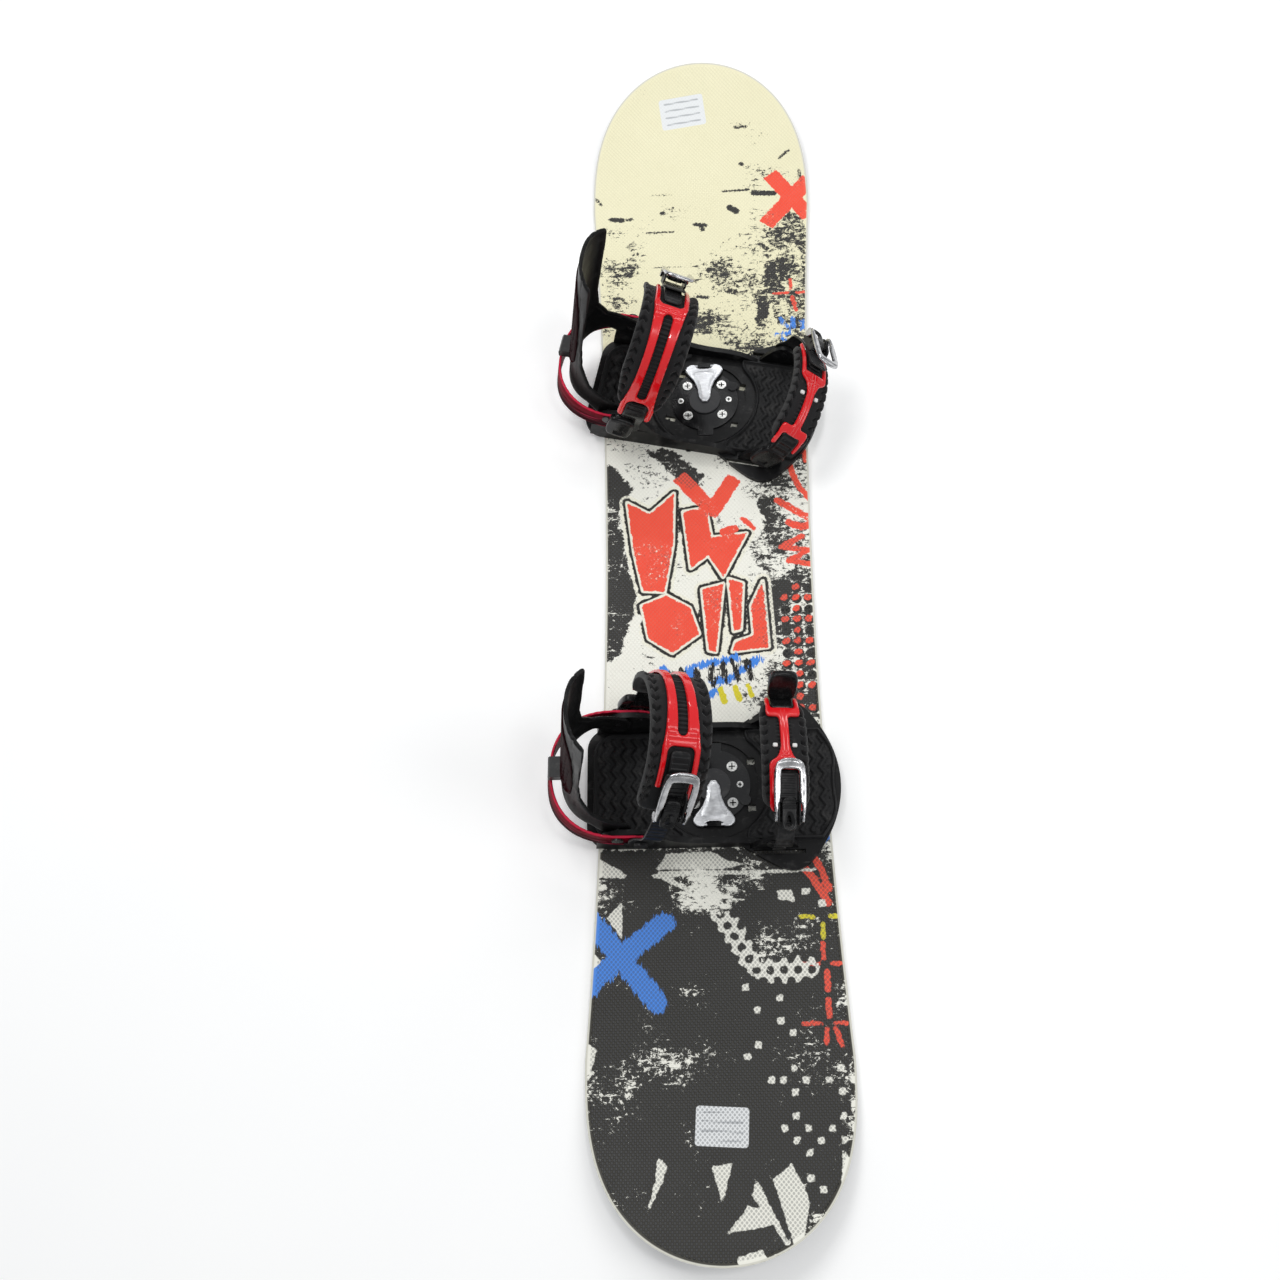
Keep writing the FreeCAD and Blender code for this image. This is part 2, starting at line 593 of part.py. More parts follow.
def strap_pad(strap, sizes):
    pad = strap.band(sizes["pad"][0], strap.length - sizes["pad"][1], sizes["half"], 0, PAD_THICKNESS)
    return tapered(pad, sizes["half"], sizes["half"] * 0.72, sizes["foot"], sizes["full"])


def strap_frame(strap, sizes):
    """Glossy frame with a yoke round the link, a window, and a fork round the buckle."""
    low, high = PAD_THICKNESS + 0.1, PAD_THICKNESS + FRAME_THICKNESS
    start, end = sizes["frame"][0], strap.length - sizes["frame"][1]
    half = sizes["frame_half"]
    plate = strap.band(start, end, half, low, high)
    yoke_end = start + sizes["yoke"]
    fork_start = end - sizes["fork"]
    plate = plate.cut(strap.band(start - 1, yoke_end, sizes["yoke_gap"], low - 1, high + 1))
    plate = plate.cut(strap.band(fork_start, end + 1, sizes["fork_gap"], low - 1, high + 1))
    for centre, gap in sizes["windows"]:
        plate = plate.cut(strap.band(yoke_end + sizes["bar"], fork_start - sizes["bar"], gap,
                                     low - 1, high + 1, centre))
    return plate


def strap_link(strap, sizes):
    climb = sizes["climb"]
    low = rising(climb, 0, PAD_THICKNESS + 0.2)
    high = rising(climb, 3.0, PAD_THICKNESS + 0.2 + FRAME_THICKNESS)
    plate = strap.band(0, sizes["link"], sizes["link_half"], low, high)
    body = fused([plate, strap.eye(-1, sizes["link_half"]), link_cap(strap, sizes)])
    head_room = Part.makeCylinder(BOLT_HEAD + 0.5, 4.0, Vector(0, -LINK_OUTER_V, 0), Vector(0, -1, 0))
    return strap.drill(body.cut(head_room))


def link_cap(strap, sizes):
    """Cover plate on the link with a rectangular opening."""
    run, tilt, reach, side = sizes["cap"]
    lift = max(7.5, rising(sizes["climb"], 3.0, PAD_THICKNESS + 0.2 + FRAME_THICKNESS)(run))
    corners = [(-19, -9), (-19, 9), (-12, 15), (13, 15), (19, 10), (19, -10), (13, -15), (-12, -15)]
    plate = prism(polygon([Vector(x, y, -5.2) for x, y in corners]), Vector(0, 0, 8.8))
    plate = plate.cut(box(-12, -3, -5, 5, 1.6, 10)).translate(Vector(reach, side, 0))
    return plate.transformed(strap.tangent_matrix(run, lift, tilt))


def strap_ladder(strap, sizes):
    total, climb = strap.length, sizes["climb"]
    low = falling(total, climb, 0, PAD_THICKNESS + 0.3)
    high = falling(total, climb, LADDER_THICKNESS, PAD_THICKNESS + 0.3 + LADDER_THICKNESS)
    start = total - sizes["ladder"]
    plate = strap.band(start, total, sizes["ladder_half"], low, high)
    teeth = int((sizes["ladder"] - climb) / TOOTH_PITCH)
    for tooth in range(1, teeth):
        run = start + TOOTH_PITCH * tooth
        groove = strap.band(run, run + 1.6, sizes["ladder_half"] - 2, high(run) - 0.8, high(run) + 1)
        plate = plate.cut(groove)
    head_room = Part.makeCylinder(BOLT_HEAD + 0.5, 4.0, Vector(0, LINK_OUTER_V, 0), Vector(0, 1, 0))
    return strap.drill(fused([plate, strap.eye(1, sizes["ladder_half"] + 3)]).cut(head_room))


def buckle_matrix(strap, sizes):
    return strap.tangent_matrix(strap.length - sizes["buckle"], PAD_THICKNESS + 3.4)


def y_pin(radius, y0, y1, x, z):
    return Part.makeCylinder(radius, y1 - y0, Vector(x, y0, z), Vector(0, 1, 0))


def buckle_base(scale):
    """Channel that the ladder's buckle parts hinge in."""
    half = 13 * scale
    floor = box(-24, 28, -half, half, 0, 2)
    ear = side_prism([(-8, 1), (-2, 12), (6, 13), (24, 13), (28, 8), (28, 1)], half - 2, half)
    body = fused([floor, ear, ear.mirror(Vector(0, 0, 0), Vector(0, 1, 0))])
    body = body.cut(y_pin(HINGE_PIN + FIT, -40, 40, HINGE_X, HINGE_Z))
    return body.cut(y_pin(RELEASE_PIN + FIT, -40, 40, RELEASE_X, RELEASE_Z))


def buckle_lever(scale):
    """Cast window-frame lever; its free end points up the strap."""
    half = 18 * scale
    inner = 13.4 * scale
    outline = [(-38, -half + 8), (-30, -half), (14, -half), (26, -half + 4), (26, half - 4), (14, half),
               (-30, half), (-38, half - 8)]
    plate = prism(polygon([Vector(x, y, 14) for x, y in outline]), Vector(0, 0, 4))
    plate = plate.cut(box(-27, 30, -inner + 2.4, inner - 2.4, 0, 30)).cut(box(4, 30, -inner, inner, 0, 30))
    cheek = side_prism([(12, 15), (15, 7), (20, 4.5), (25, 7), (26, 15)], inner, half - 1.5)
    stub = y_pin(HINGE_PIN, half - 7 * scale, half - 3, HINGE_X, HINGE_Z)
    parts = [plate, cheek, stub]
    parts += [piece.mirror(Vector(0, 0, 0), Vector(0, 1, 0)) for piece in (cheek, stub)]
    return fused(parts)


def buckle_release(scale):
    """Inner release lever with a teardrop finger hole."""
    half = 8.5 * scale
    body = side_prism([(0.5, 6), (0.5, 11), (6, 12), (34, 11.5), (34, 8.5), (8, 6)], -half, half)
    body = body.cut(Part.makeCylinder(3.2 * scale, 30, Vector(27, 0, 0)))
    return fused([body, y_pin(RELEASE_PIN, -12.6 * scale, 12.6 * scale, RELEASE_X, RELEASE_Z)])


ANKLE_SIZES = {
    "half": ANKLE_PAD_HALF, "pad": (42.0, 76.0), "foot": 40.0, "full": 85.0,
    "frame": (30.0, 84.0), "frame_half": 19.0, "yoke": 26.0, "yoke_gap": 14.0, "fork": 62.0, "fork_gap": 14.0,
    "bar": 9.0, "windows": [(0.0, 6.0)], "link": 54.0, "link_half": 12.5, "climb": 40.0,
    "ladder": 142.0, "ladder_half": 10.0, "buckle": 103.0, "scale": 1.0,
}
TOE_SIZES = {
    "half": TOE_PAD_HALF, "pad": (32.5, 54.0), "foot": 18.0, "full": 42.0,
    "frame": (30.0, 50.0), "frame_half": 17.0, "yoke": 16.0, "yoke_gap": 12.5, "fork": 44.0, "fork_gap": 12.8,
    "bar": 7.0, "windows": [(-11.0, 5.0), (11.0, 5.0)], "link": 46.0, "link_half": 11.5, "climb": 22.0,
    "ladder": 85.0, "ladder_half": 9.0, "buckle": 64.0, "scale": 0.9,
}

# link cover of each strap: its run, how far it tips off the strap, and its shifts along and across itself
LINK_CAP = {("front", "ankle"): (7.0, 0.0, -7.0, 8.0), ("rear", "ankle"): (7.0, 0.0, -7.0, 8.0),
            ("front", "toe"): (9.0, 0.0, 0.0, 0.0), ("rear", "toe"): (30.0, 60.0, 18.0, 0.0)}


def make_strap(end, kind, strap, sizes):
    sizes = dict(sizes, cap=LINK_CAP[end, kind])
    name = end + "_" + kind
    scale = sizes["scale"]
    matrix = buckle_matrix(strap, sizes)
    pieces = {
        name + "_strap_pad": strap_pad(strap, sizes),
        name + "_strap_frame": strap_frame(strap, sizes),
        name + "_strap_link": strap_link(strap, sizes),
        name + "_ladder": strap_ladder(strap, sizes),
        name + "_buckle_base": buckle_base(scale).transformed(matrix),
        name + "_buckle_lever": buckle_lever(scale).transformed(matrix),
        name + "_buckle_release": buckle_release(scale).transformed(matrix),
    }
    for node, shape in pieces.items():
        export(place(strap.seat(shape), end), node)


def make_binding(end):
    export(place(make_baseplate(end), end), end + "_baseplate")
    export(place(heel_pad(), end), end + "_heel_pad")
    export(place(toe_pad(), end), end + "_toe_pad")
    export(place(heel_loop(), end), end + "_heel_loop")
    export(place(frame_screws(), end), end + "_frame_screws")
    export(place(strap_bolts(end), end), end + "_strap_bolts")
    for node, make in (("highback_shell", highback_shell), ("highback_panel", highback_panel),
                       ("lean_adjuster", lean_adjuster)):
        shape = make()
        shape.rotate(Vector(HIGHBACK_PIVOT[0], 0, HIGHBACK_PIVOT[1]), Vector(0, 1, 0), HIGHBACK_LEAN[end])
        export(place(shape, end), end + "_" + node)
    make_strap(end, "ankle", Strap(ANKLE_ARCH[end], ANKLE_LEAN[end], ANKLE_PIVOT), ANKLE_SIZES)
    make_strap(end, "toe", Strap(TOE_ARCH[end], TOE_LEAN[end], TOE_PIVOT[end]), TOE_SIZES)


os.makedirs("parts", exist_ok=True)
make_board()
make_discs()
for binding_end in STANCE_Y:
    make_binding(binding_end)
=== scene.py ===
import math

import bmesh
import bpy
import numpy as np
from mathutils import Matrix, Vector


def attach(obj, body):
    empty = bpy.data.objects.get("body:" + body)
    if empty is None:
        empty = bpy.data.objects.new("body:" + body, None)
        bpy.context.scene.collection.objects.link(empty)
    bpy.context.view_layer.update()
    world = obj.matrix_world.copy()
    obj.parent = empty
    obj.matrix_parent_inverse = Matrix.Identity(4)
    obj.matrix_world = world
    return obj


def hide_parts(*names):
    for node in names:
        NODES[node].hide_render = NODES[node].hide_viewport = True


# Looks of the snowboard and its two bindings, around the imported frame.
# Lengths in this file are in millimetres until a piece is placed in the scene.

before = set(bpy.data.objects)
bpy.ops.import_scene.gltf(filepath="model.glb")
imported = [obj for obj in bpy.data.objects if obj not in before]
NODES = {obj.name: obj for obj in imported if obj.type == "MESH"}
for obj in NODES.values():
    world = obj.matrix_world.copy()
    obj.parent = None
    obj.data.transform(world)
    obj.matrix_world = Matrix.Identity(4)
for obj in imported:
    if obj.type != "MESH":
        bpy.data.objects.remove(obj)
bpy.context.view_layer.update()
MM = 0.001


# ---- camera, light and floor ----------------------------------------------
CAMERA_AT = (26.82, -707.35, 1561.16)
CAMERA_PITCH, CAMERA_YAW, CAMERA_ROLL = 22.4, 3.56, -1.67     # degrees
CAMERA_LENS, SENSOR = 42.783, 36
FLOOR_HALF, FLOOR_GAP = 6.0, 0.0004                           # metres; the floor is just under the base
SKY, SKY_STRENGTH = (0.96, 0.98, 1.0, 1), 0.47


def link(obj):
    bpy.context.scene.collection.objects.link(obj)
    return obj


def make_camera():
    pitch, yaw, roll = (math.radians(a) for a in (CAMERA_PITCH, CAMERA_YAW, CAMERA_ROLL))
    ahead = Vector((0, math.sin(pitch), -math.cos(pitch)))
    up = Vector((0, math.cos(pitch), math.sin(pitch)))
    right = Vector((1, 0, 0))
    right, ahead = (right * math.cos(yaw) + ahead * math.sin(yaw),
                    ahead * math.cos(yaw) - right * math.sin(yaw))
    right, up = (right * math.cos(roll) + up * math.sin(roll),
                 up * math.cos(roll) - right * math.sin(roll))
    data = bpy.data.cameras.new("camera")
    data.sensor_width = SENSOR
    data.lens = CAMERA_LENS
    data.clip_end = 50
    camera = link(bpy.data.objects.new("camera", data))
    camera.matrix_world = Matrix.Translation(Vector(CAMERA_AT) * MM) @ Matrix(
        (right, up, -ahead)).transposed().to_4x4()
    bpy.context.scene.camera = camera


def area_light(name, at, target, size, power):
    data = bpy.data.lights.new(name, "AREA")
    data.shape = "RECTANGLE"
    data.size, data.size_y = size
    data.energy = power
    light = link(bpy.data.objects.new(name, data))
    light.location = at
    light.rotation_euler = (Vector(target) - Vector(at)).to_track_quat("-Z", "Y").to_euler()


def make_studio():
    area_light("key_light", (-0.9, 0.7, 2.3), (0, 0, 0), (1.3, 0.9), 18)
    area_light("fill_light", (1.6, -0.6, 1.9), (0, 0, 0), (0.9, 1.3), 10)
    area_light("strip_light", (0.1, 1.5, 1.6), (0, 0.1, 0), (2.2, 0.14), 9)
    area_light("spark_light", (0.5, -0.5, 2.2), (0, 0, 0), (0.25, 0.25), 5)
    world = bpy.data.worlds.new("studio")
    world.use_nodes = True
    sky = world.node_tree.nodes["Background"]
    sky.inputs["Color"].default_value = SKY
    sky.inputs["Strength"].default_value = SKY_STRENGTH
    bpy.context.scene.world = world
    bpy.context.scene.view_settings.view_transform = "Standard"
    mesh = bpy.data.meshes.new("floor")
    corners = [(x * FLOOR_HALF, y * FLOOR_HALF, 0) for x, y in ((-1, -1), (1, -1), (1, 1), (-1, 1))]
    mesh.from_pydata(corners, [], [(0, 1, 2, 3)])
    floor = link(bpy.data.objects.new("floor", mesh))
    floor.location.z = -FLOOR_GAP
    paint(floor, floor_material())


# ---- shader helper --------------------------------------------------------
class Shader:
    """Builds one Principled material node by node."""

    def __init__(self, name, **sockets):
        self.material = bpy.data.materials.new(name)
        self.material.use_nodes = True
        self.tree = self.material.node_tree
        self.surface = self.tree.nodes["Principled BSDF"]
        for socket, value in sockets.items():
            self.put(self.surface, socket.replace("_", " "), value)

    def put(self, node, socket, value):
        target = node.inputs[socket]
        if isinstance(value, bpy.types.NodeSocket):
            self.tree.links.new(value, target)
        elif isinstance(value, (tuple, list)) and target.type == "RGBA" and len(value) == 3:
            target.default_value = (*value, 1)
        else:
            target.default_value = value

    def node(self, kind, inputs=None, **settings):
        node = self.tree.nodes.new("ShaderNode" + kind)
        for key, value in settings.items():
            setattr(node, key, value)
        for socket, value in (inputs or {}).items():
            self.put(node, socket, value)
        return node

    def place(self, scale=(1, 1, 1)):
        """The piece's own coordinates, in millimetres times scale."""
        return self.stretched(self.node("TexCoord").outputs["Object"], [1000 * s for s in scale])

    def stretched(self, at, scale):
        return self.node("VectorMath", {0: at, 1: scale}, operation="MULTIPLY").outputs[0]

    def rise(self, at):
        return self.node("SeparateXYZ", {0: at}).outputs["Z"]

    def field(self, name):
        return self.node("Attribute", attribute_name=name).outputs["Fac"]

    def vector(self, name):
        return self.node("Attribute", attribute_name=name).outputs["Vector"]

    def noise(self, at, size, detail=3, rough=0.55, warp=0.0):
        """Noise whose features are about size millimetres."""
        return self.node("TexNoise", {"Vector": at, "Scale": 1 / size, "Detail": detail, "Roughness": rough,
                                      "Distortion": warp}).outputs["Fac"]

    def cells(self, at, size, randomness=1.0, feature="F1"):
        return self.node("TexVoronoi", {"Vector": at, "Scale": 1 / size, "Randomness": randomness},
                         feature=feature).outputs["Distance"]

    def calc(self, operation, a, b=0.0):
        return self.node("Math", {0: a, 1: b}, operation=operation).outputs[0]

    def plus(self, a, b):
        return self.calc("ADD", a, b)

    def less(self, a, b):
        return self.calc("SUBTRACT", a, b)

    def times(self, a, b):
        return self.calc("MULTIPLY", a, b)

    def step(self, value, low, high, to_low=0.0, to_high=1.0):
        """Smooth step of value from low to high, mapped onto to_low..to_high."""
        return self.node("MapRange", {"Value": value, "From Min": low, "From Max": high, "To Min": to_low,
                                      "To Max": to_high}, interpolation_type="SMOOTHSTEP").outputs["Result"]

    def vary(self, value, low, high):
        """Noise turned into a range, as for roughness."""
        return self.step(value, 0.3, 0.7, low, high)

    def mix(self, factor, a, b):
        node = self.node("Mix", data_type="RGBA")
        self.put(node, 0, factor)
        self.put(node, 6, a)
        self.put(node, 7, b)
        return node.outputs[2]

    def bump(self, height, distance, strength=1.0, below=None):
        inputs = {"Height": height, "Strength": strength, "Distance": distance * MM}
        if below is not None:
            inputs["Normal"] = below
        return self.node("Bump", inputs).outputs[0]

    def done(self, **sockets):
        for socket, value in sockets.items():
            self.put(self.surface, socket.replace("_", " "), value)
        return self.material


def paint(obj, material):
    obj.data.materials.clear()
    obj.data.materials.append(material)


# ---- materials ------------------------------------------------------------
def floor_material():
    s = Shader("floor_paper")
    at = s.place()
    tone = s.noise(at, 400, 2)
    return s.done(Base_Color=s.mix(tone, (0.9, 0.9, 0.9), (0.94, 0.94, 0.93)), Roughness=0.75,
                  Emission_Color=(1, 1, 1), Emission_Strength=0.16,
                  Normal=s.bump(s.noise(at, 3, 3), 0.05, 0.3))


def plastic(name, dark, light, roughness, grain=1.2, depth=0.12, wear=0.0, coat=0.0, specular=0.28):
    """Moulded plastic: fine grain, faint mottling, dusty scuffs and small scratches."""
    s = Shader(name, Coat_Weight=coat, Coat_Roughness=0.12, Specular_IOR_Level=specular)
    at = s.place()
    mottle = s.noise(at, 38, 3)
    fine = s.noise(at, grain, 2, 0.7)
    scratch = s.step(s.noise(s.place((0.15, 1, 0.6)), 2.2, 4, 0.6, 0.4), 0.63, 0.72)
    dust = s.step(s.noise(at, 16, 5, 0.7), 0.52, 0.75)
    colour = s.mix(mottle, dark, light)
    colour = s.mix(s.times(s.calc("MAXIMUM", scratch, dust), wear), colour, (0.32, 0.31, 0.3))
    rough = s.step(s.plus(mottle, s.times(fine, 0.4)), 0.4, 1.0,
                   max(roughness - 0.09, 0.04), roughness + 0.1)
    return s.done(Base_Color=colour, Roughness=rough, Normal=s.bump(fine, depth, 0.55))


def foam_material():
    """Matte moulded foam with pores, paler edges and a soft sheen."""
    s = Shader("strap_foam", Sheen_Weight=0.12, Sheen_Roughness=0.5, Specular_IOR_Level=0.2)
    at = s.place()
    pores = s.cells(at, 0.9)
    soft = s.noise(at, 26, 4)
    edge = s.step(s.field("depth"), 0.0, 3.5, 1.0, 0.0)
    colour = s.mix(soft, (0.006, 0.006, 0.0065), (0.016, 0.016, 0.017))
    colour = s.mix(s.times(edge, 0.35), colour, (0.085, 0.083, 0.082))
    grime = s.step(s.noise(at, 9, 5, 0.7), 0.58, 0.75, 0.0, 0.22)
    colour = s.mix(grime, colour, (0.12, 0.115, 0.11))
    return s.done(Base_Color=colour, Roughness=s.vary(soft, 0.6, 0.82),
                  Normal=s.bump(pores, 0.18, 0.5))


def rubber_material():
    """Footbed rubber: matte, with a fine stipple and pale dust in the low treads."""
    s = Shader("footbed_rubber", Specular_IOR_Level=0.22)
    at = s.place()
    stipple = s.cells(at, 1.3)
    low = s.step(s.field("depth"), 0.0, 6.0)
    dust = s.step(s.noise(at, 14, 5, 0.7), 0.48, 0.72, 0.0, 0.3)
    colour = s.mix(s.noise(at, 30, 3), (0.012, 0.012, 0.0125), (0.026, 0.026, 0.027))
    colour = s.mix(s.times(dust, low), colour, (0.11, 0.105, 0.1))
    return s.done(Base_Color=colour, Roughness=s.step(stipple, 0.1, 0.7, 0.5, 0.7),
                  Normal=s.bump(stipple, 0.2, 0.45))


def red_gloss_material():
    """Bright glossy red plastic with fine orange peel, darker pools and rubbed edges."""
    s = Shader("strap_red", Coat_Weight=0.8, Coat_Roughness=0.04, Specular_IOR_Level=0.3)
    at = s.place()
    tone = s.noise(at, 45, 3)
    rub = s.times(s.step(s.field("depth"), 0.0, 1.1, 1.0, 0.0), s.step(s.noise(at, 7, 4), 0.45, 0.7))
    nick = s.step(s.noise(at, 1.6, 4, 0.7), 0.7, 0.78)
    colour = s.mix(tone, (0.66, 0.002, 0.007), (0.8, 0.008, 0.013))
    colour = s.mix(s.times(rub, 0.55), colour, (0.9, 0.09, 0.08))
    colour = s.mix(s.times(nick, 0.3), colour, (0.3, 0.004, 0.008))
    return s.done(Base_Color=colour, Roughness=s.vary(s.noise(at, 12, 4), 0.14, 0.3),
                  Normal=s.bump(s.noise(at, 5, 2), 0.12, 0.25))


def hoop_material():
    """Deep red lacquer with painted light: painted shade makes it nearly black low down, and painted
    highlights brighten its edges and thin streaks.
    """
    s = Shader("hoop_lacquer", Coat_Weight=0.1, Coat_Roughness=0.06, Specular_IOR_Level=0.0)
    at = s.place()
    # Painted shade: nearly black low down and dark red higher up, with a streaky boundary.
    height = s.rise(at)
    streak = s.noise(s.place((0.25, 0.25, 1)), 9, 4, 0.6)
    level = s.plus(height, s.times(streak, 16))
    colour = s.mix(s.step(level, 48, 80), (0.02, 0.001, 0.004), (0.2, 0.003, 0.014))
    # Painted highlight: sparse thin bright streaks.
    painted_gleam = s.step(s.noise(s.place((0.06, 0.06, 1)), 5, 2, 0.5), 0.6, 0.68, 0.0, 0.5)
    colour = s.mix(painted_gleam, colour, (0.62, 0.04, 0.1))
    # Painted highlight: bright red along the edges.
    colour = s.mix(s.step(s.field("depth"), 0.2, 1.8, 1.0, 0.0), colour, (0.66, 0.03, 0.07))
    return s.done(Base_Color=colour, Roughness=s.vary(s.noise(at, 10, 4), 0.1, 0.26),
                  Normal=s.bump(s.noise(at, 6, 2), 0.1, 0.25))


def metal(name, dark, light, roughness, brush=(1, 1, 1), wear=0.35, grain=0.9, bump=0.3, shaded_below=None):
    """Cast or turned metal with brushed streaks and pits. Below a height, if one is given, the colour is
    painted near black: painted shade in a recess.
    """
    s = Shader(name, Metallic=1.0)
    at = s.place()
    streak = s.noise(s.place(brush), 2.4, 4, 0.65)
    patch = s.noise(at, 11, 4, 0.6)
    pits = s.step(s.noise(at, grain, 3, 0.7), 0.66, 0.74)
    colour = s.mix(s.step(s.plus(streak, patch), 0.75, 1.25), dark, light)
    colour = s.mix(s.times(pits, wear), colour, tuple(0.35 * c for c in dark))
    # Painted shade: near black below the given height, where a recess lies.
    if shaded_below is not None:
        height = s.rise(at)
        colour = s.mix(s.step(height, shaded_below, shaded_below + 0.5, 1.0, 0.0), colour, (0.02, 0.02, 0.02))
    return s.done(Base_Color=colour, Roughness=s.step(patch, 0.3, 0.75, roughness - 0.07, roughness + 0.14),
                  Normal=s.bump(s.plus(streak, s.times(pits, -0.6)), 0.06, bump))


def wood_material():
    """Laminated poplar core: long stringers along the board."""
    s = Shader("core_poplar", Specular_IOR_Level=0.3)
    strip = s.noise(s.place((1, 0.01, 1)), 12, 2)
    grain = s.noise(s.place((1, 0.03, 1)), 1.5, 5, 0.65, 0.6)
    colour = s.mix(strip, (0.42, 0.27, 0.13), (0.6, 0.43, 0.24))
    colour = s.mix(s.step(grain, 0.5, 0.7, 0.0, 0.6), colour, (0.28, 0.16, 0.07))
    return s.done(Base_Color=colour, Roughness=s.vary(grain, 0.5, 0.7), Normal=s.bump(grain, 0.1, 0.4))


def sidewall_material():
    """Cream sidewall with sanding lines along the board and scuffs."""
    s = Shader("sidewall_resin", Specular_IOR_Level=0.45)
    lines = s.noise(s.place((1, 0.03, 3)), 0.8, 3, 0.6)
    scuff = s.step(s.noise(s.place((1, 0.3, 1)), 8, 5, 0.7), 0.6, 0.72, 0.0, 0.5)
    colour = s.mix(s.noise(s.place(), 60, 3), (0.74, 0.72, 0.62), (0.86, 0.84, 0.76))
    return s.done(Base_Color=s.mix(scuff, colour, (0.35, 0.33, 0.29)),
                  Roughness=s.vary(lines, 0.38, 0.55), Normal=s.bump(lines, 0.1, 0.4))


def base_material():
    """Sintered black base: stone-ground structure along the board, waxy mottling."""
    s = Shader("base_sintered", Specular_IOR_Level=0.45)
    structure = s.noise(s.place((1, 0.02, 1)), 0.7, 2, 0.5)
    wax = s.noise(s.place(), 55, 4, 0.6)
    scrape = s.step(s.noise(s.place((1, 0.08, 1)), 3, 4, 0.6), 0.66, 0.72, 0.0, 0.4)
    colour = s.mix(wax, (0.012, 0.012, 0.014), (0.03, 0.03, 0.034))
    return s.done(Base_Color=s.mix(scrape, colour, (0.12, 0.12, 0.12)),
                  Roughness=s.step(wax, 0.3, 0.7, 0.24, 0.44), Normal=s.bump(structure, 0.06, 0.5))


def topsheet_material():
    """Printed cream and black topsheet with torn edges, brush marks, an embossed dimple texture and painted
    highlights on the dimples over the black.
    """
    s = Shader("topsheet_print", Specular_IOR_Level=0.2)
    at = s.vector("flat")
    torn = s.less(s.noise(at, 7, 5, 0.72), 0.5)
    rough_edge = s.times(torn, 26.0)
    soft_edge = s.times(torn, 7.0)
    chipped = s.times(s.less(s.noise(at, 2.8, 4, 0.7), 0.5), 8.0)

    def inside(name, edge, width=0.5):
        return s.step(s.plus(s.field(name), edge), -width, width, 1.0, 0.0)

    paper = s.noise(at, 90, 4)
    cream = s.mix(paper, (0.87, 0.825, 0.56), (0.95, 0.905, 0.64))
    cream = s.mix(s.field("whiteness"), cream, (0.95, 0.94, 0.85))
    ink = s.mix(s.noise(at, 30, 3), (0.006, 0.006, 0.0065), (0.016, 0.016, 0.017))

    clumps = s.noise(at, 55, 2)
    specks = s.plus(s.noise(at, 5.5, 6, 0.78), s.times(clumps, 0.55))
    rain = s.plus(s.noise(s.stretched(at, (0.35, 1.3, 1)), 7, 5, 0.75), s.times(clumps, 0.5))
    grunge = s.calc("MAXIMUM", specks, rain)
    limit = s.less(1.12, s.times(s.field("distress"), 0.36))
    spotted = s.step(s.less(grunge, limit), -0.008, 0.012)

    black = s.calc("MAXIMUM", inside("black", rough_edge), inside("hard_black", chipped))
    black = s.calc("ABSOLUTE", s.less(black, spotted))
    colour = s.mix(black, cream, ink)
    colour = s.mix(inside("dots", 0.0), colour, ink)
    paper_edge = (0.94, 0.92, 0.78)
    colour = s.mix(inside("halo", 0.0), colour, paper_edge)
    colour = s.mix(inside("outline", soft_edge), colour, ink)
    colour = s.mix(inside("rim", 0.0), colour, paper_edge)
    worn = s.times(s.step(s.noise(at, 4, 6, 0.8), 0.57, 0.61), s.step(clumps, 0.5, 0.62))
    red = s.mix(s.noise(at, 26, 4), (0.93, 0.07, 0.038), (1.0, 0.11, 0.06))
    colour = s.mix(s.times(inside("red", soft_edge), s.less(1.0, worn)), colour, red)
    bristle = s.times(s.less(s.noise(s.stretched(at, (1, 0.2, 1)), 3, 5, 0.7), 0.5), 22.0)
    colour = s.mix(inside("blue", bristle), colour, (0.055, 0.26, 0.84))
    colour = s.mix(inside("yellow", soft_edge), colour, (0.78, 0.68, 0.03))
    colour = s.mix(inside("stroke", bristle), colour, ink)
    colour = s.mix(inside("cream", soft_edge), colour, cream)
    colour = s.mix(inside("label", 0.0, 0.3), colour, (0.84, 0.86, 0.87))
    colour = s.mix(inside("label_ink", 0.0, 0.3), colour, (0.5, 0.52, 0.54))
    border = s.step(s.field("depth"), 1.6, 2.6, 1.0, 0.0)
    colour = s.mix(border, colour, (0.72, 0.71, 0.63))

    flat = s.node("SeparateXYZ", {0: at})
    across = s.calc("COSINE", s.times(flat.outputs["X"], math.pi / 2.25))
    along = s.calc("COSINE", s.times(flat.outputs["Y"], math.pi / 2.6))
    dimple = s.step(s.calc("ABSOLUTE", s.plus(across, along)), 0.0, 1.2)
    dimple = s.times(dimple, s.step(s.field("depth"), 3.0, 6.0))
    grain = s.noise(at, 0.8, 2, 0.6)
    net = s.times(s.step(dimple, 0.0, 0.6, 1.0, 0.0), 0.1)
    # Painted highlight: a light grey glint on each dimple top, only over the black print.
    painted_glint = s.times(s.step(dimple, 0.55, 1.0), 0.5)
    colour = s.mix(s.times(painted_glint, black), colour, (0.1, 0.1, 0.1))
    colour = s.mix(net, colour, (0.45, 0.42, 0.32))
    smooth = s.times(dimple, s.less(1.0, inside("label", 0.0)))
    normal = s.bump(smooth, 0.35, 0.8)
    return s.done(Base_Color=colour, Roughness=s.vary(s.noise(at, 20, 4), 0.32, 0.5),
                  Normal=s.bump(grain, 0.05, 0.3, normal))


# ---- flat shapes: signed distances, negative inside -----------------------
def smooth_step(low, high, x):
    t = np.clip((x - low) / (high - low), 0, 1)
    return t * t * (3 - 2 * t)


def nearest(shapes):
    """Union of several shapes."""
    result = shapes[0]
    for shape in shapes[1:]:
        result = np.minimum(result, shape)
    return result


